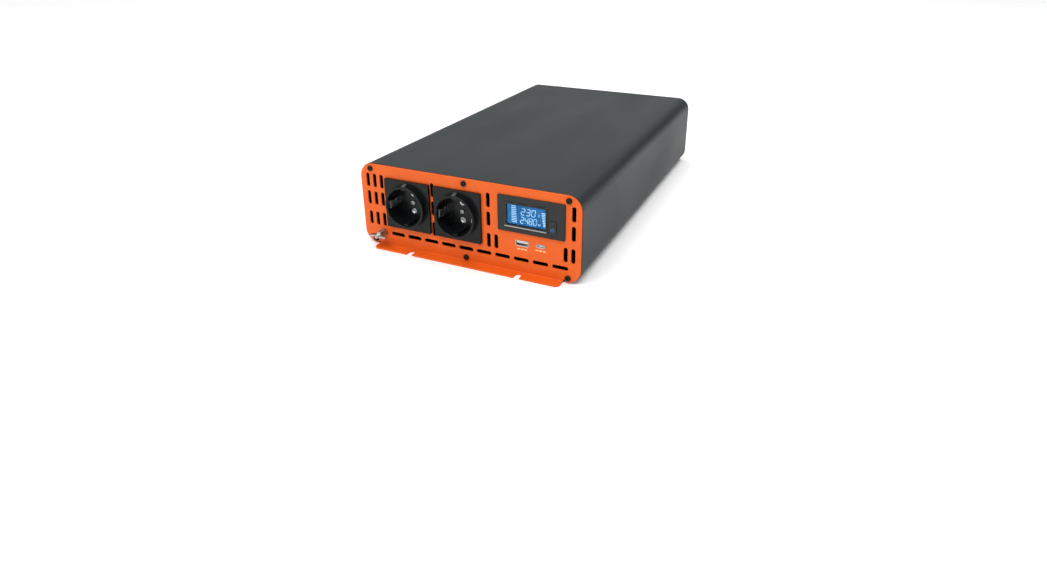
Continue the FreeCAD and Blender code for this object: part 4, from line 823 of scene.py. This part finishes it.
def positive_mark():
    """The white plus sign beside the positive terminal."""
    x = POSITIVE_LOW.x - 7.1 * MM
    z = POSITIVE_HIGH.z - 3.9 * MM
    outline = []
    for sign_x, sign_z in ((1, 1), (-1, 1), (-1, -1), (1, -1)):
        corner = [(sign_x * PLUS_ARM, sign_z * PLUS_HALF), (sign_x * PLUS_HALF, sign_z * PLUS_HALF),
                  (sign_x * PLUS_HALF, sign_z * PLUS_ARM)]
        outline += corner if sign_x == sign_z else corner[::-1]
    build = bmesh.new()
    add_plate(build, [(x + dx, z + dz) for dx, dz in outline], REAR_Y + PRINT_T, REAR_Y)
    ink = print_and_highlight_ink("mark_ink", shade(250, 214, 196), shade(255, 250, 246))
    return add_piece("positive_mark", build, ink, "root")


# ---------------------------------------------------------------- small parts
def lathe(build, profile, centre, steps=32):
    """Turns a closed profile of radius and y about an axis along Y through centre."""
    rings = []
    for radius, y in profile:
        ring = []
        for step in range(steps):
            angle = 2.0 * math.pi * step / steps
            ring.append(build.verts.new((centre.x + radius * math.cos(angle), y,
                                         centre.y + radius * math.sin(angle))))
        rings.append(ring)
    for index in range(len(rings)):
        lower, upper = rings[index - 1], rings[index]
        for step in range(steps):
            build.faces.new((lower[step - 1], lower[step], upper[step], upper[step - 1]))


CONTACT_IN = 3.0 * MM           # from the end of a socket's pair of contacts to the middle of the last one
CONTACT_SUNK = 0.5 * MM
MOUTH_R = 2.4 * MM
MOUTH_HOLE_R = 0.6 * MM
SOCKET_PLATE_OUT = 3.0 * MM
# Size of the pale painted highlight on the top of each collar's upper rib.
RIB_HIGHLIGHT_HALF = 1.9 * MM
RIB_HIGHLIGHT_T = 0.12 * MM


def contact_mouths(side):
    """The flared nickel mouths of a socket's two sprung contacts, just inside its pin holes."""
    low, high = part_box("socket_%s_pin_contacts" % side)
    middle_x = (low.x + high.x) / 2.0
    floor_y = low.y - CONTACT_SUNK
    profile = [(MOUTH_R, floor_y + 0.5 * MM), (2.2 * MM, floor_y + 0.55 * MM),
               (MOUTH_HOLE_R, floor_y + 1.7 * MM), (MOUTH_HOLE_R, floor_y + 2.1 * MM),
               (MOUTH_R, floor_y + 1.1 * MM)]
    build = bmesh.new()
    for z in (low.z + CONTACT_IN, high.z - CONTACT_IN):
        lathe(build, profile, Vector((middle_x, z)))
    piece = add_piece("socket_%s_contact_mouths" % side, build, MATERIALS["mouth_nickel"], "root")
    for face in piece.data.polygons:
        face.use_smooth = True
    return piece


def collar_rib_highlight(side):
    """A pale strip on the rib above a socket's collar: a painted highlight where the light catches the top
    of the rib.
    """
    low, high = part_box("socket_%s_body" % side)
    middle_x = (low.x + high.x) / 2.0
    middle_z = (low.z + high.z) / 2.0
    plate_y = FRONT_Y - SOCKET_PLATE_OUT
    line = [(plate_y - 0.1 * MM, 23.79 * MM), (low.y + 0.9 * MM, 22.23 * MM)]
    section = [(y, middle_z + reach) for y, reach in line]
    section += [(y, middle_z + reach + RIB_HIGHLIGHT_T) for y, reach in reversed(line)]
    build = bmesh.new()
    add_bar(build, section, middle_x - RIB_HIGHLIGHT_HALF, middle_x + RIB_HIGHLIGHT_HALF)
    # Not print: this pale colour is a painted highlight on the top of the rib.
    ink = print_and_highlight_ink("collar_highlight_ink", shade(46, 54, 58), shade(58, 66, 71))
    return add_piece("socket_%s_mark" % side, build, ink, "root")


def arc_band(x, z, radius, width, start, end, steps=28):
    """The outline of a band along part of a circle; angles in degrees from +X."""
    outer = []
    inner = []
    for step in range(steps + 1):
        angle = math.radians(start + (end - start) * step / steps)
        for points, reach in ((outer, radius + width / 2.0), (inner, radius - width / 2.0)):
            points.append((x + reach * math.cos(angle), z + reach * math.sin(angle)))
    return outer + inner[::-1]


def button_symbol():
    """The on/off symbol on the button, printed in blue."""
    x = (BUTTON_LOW.x + BUTTON_HIGH.x) / 2.0
    z = (BUTTON_LOW.z + BUTTON_HIGH.z) / 2.0 - 1.6 * MM
    near = BUTTON_LOW.y - PRINT_T
    build = bmesh.new()
    add_plate(build, arc_band(x, z, SYMBOL_R, SYMBOL_STROKE, 125, 415), near, BUTTON_LOW.y)
    add_plate(build, pill(x, z + 1.1 * MM, SYMBOL_STROKE, 1.9 * MM, 0.2 * MM), near, BUTTON_LOW.y)
    ink = print_and_highlight_ink("symbol_ink", shade(26, 84, 150), shade(38, 110, 184))
    return add_piece("button_symbol", build, ink, "power_button")


THREAD_PITCH = 0.7 * MM
THREAD_OUTER = 2.0 * MM
THREAD_ROOT = 1.62 * MM
THREAD_TIP = 1.45 * MM
THREAD_LEAD = 1.2 * MM
TURN_STEPS = 24
STUD_HEAD_T = 2.8 * MM


def threaded_stud():
    """The earth bolt: a hexagon head and a shank with a rolled M4 thread."""
    middle = Vector(((STUD_LOW.x + STUD_HIGH.x) / 2.0, (STUD_LOW.z + STUD_HIGH.z) / 2.0))
    head_r = (STUD_HIGH.x - STUD_LOW.x) / 2.0
    head_y = STUD_HIGH.y - STUD_HEAD_T
    length = head_y - STUD_LOW.y
    build = bmesh.new()
    rows = int(length / THREAD_PITCH * 4)
    grid = []
    for row in range(rows + 1):
        ring = []
        for step in range(TURN_STEPS):
            angle = 2.0 * math.pi * step / TURN_STEPS
            y = STUD_LOW.y + length * row / rows
            phase = (y / THREAD_PITCH + step / TURN_STEPS) % 1.0
            radius = THREAD_ROOT + (THREAD_OUTER - THREAD_ROOT) * (1.0 - abs(2.0 * phase - 1.0))
            lead = min(1.0, (y - STUD_LOW.y) / THREAD_LEAD)
            radius = min(radius, THREAD_TIP + (THREAD_OUTER - THREAD_TIP) * lead)
            ring.append(build.verts.new((middle.x + radius * math.cos(angle), y,
                                         middle.y + radius * math.sin(angle))))
        grid.append(ring)
    for lower, upper in zip(grid, grid[1:]):
        for step in range(TURN_STEPS):
            build.faces.new((lower[step - 1], lower[step], upper[step], upper[step - 1]))
    build.faces.new(grid[0])
    build.faces.new(grid[-1][::-1])
    hexagon = []
    for step in range(6):
        angle = math.pi / 3.0 * step
        hexagon.append((middle.x + head_r * math.cos(angle), middle.y + head_r * math.sin(angle)))
    add_plate(build, hexagon, head_y, STUD_HIGH.y)
    piece = add_piece("ground_stud_threaded", build, MATERIALS["zinc_plate"], "root")
    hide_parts("ground_stud")
    return piece


# ---------------------------------------------------------------- scene
make_camera()
make_floor()
make_world()
make_lights()
paint_nodes()
display_graphics()
pane_mask()
pane_sill()
port_marks()
port_tongues()
positive_mark()
button_symbol()
for side in ("left", "right"):
    contact_mouths(side)
    collar_rib_highlight(side)
threaded_stud()
bpy.context.scene.view_settings.view_transform = "Standard"
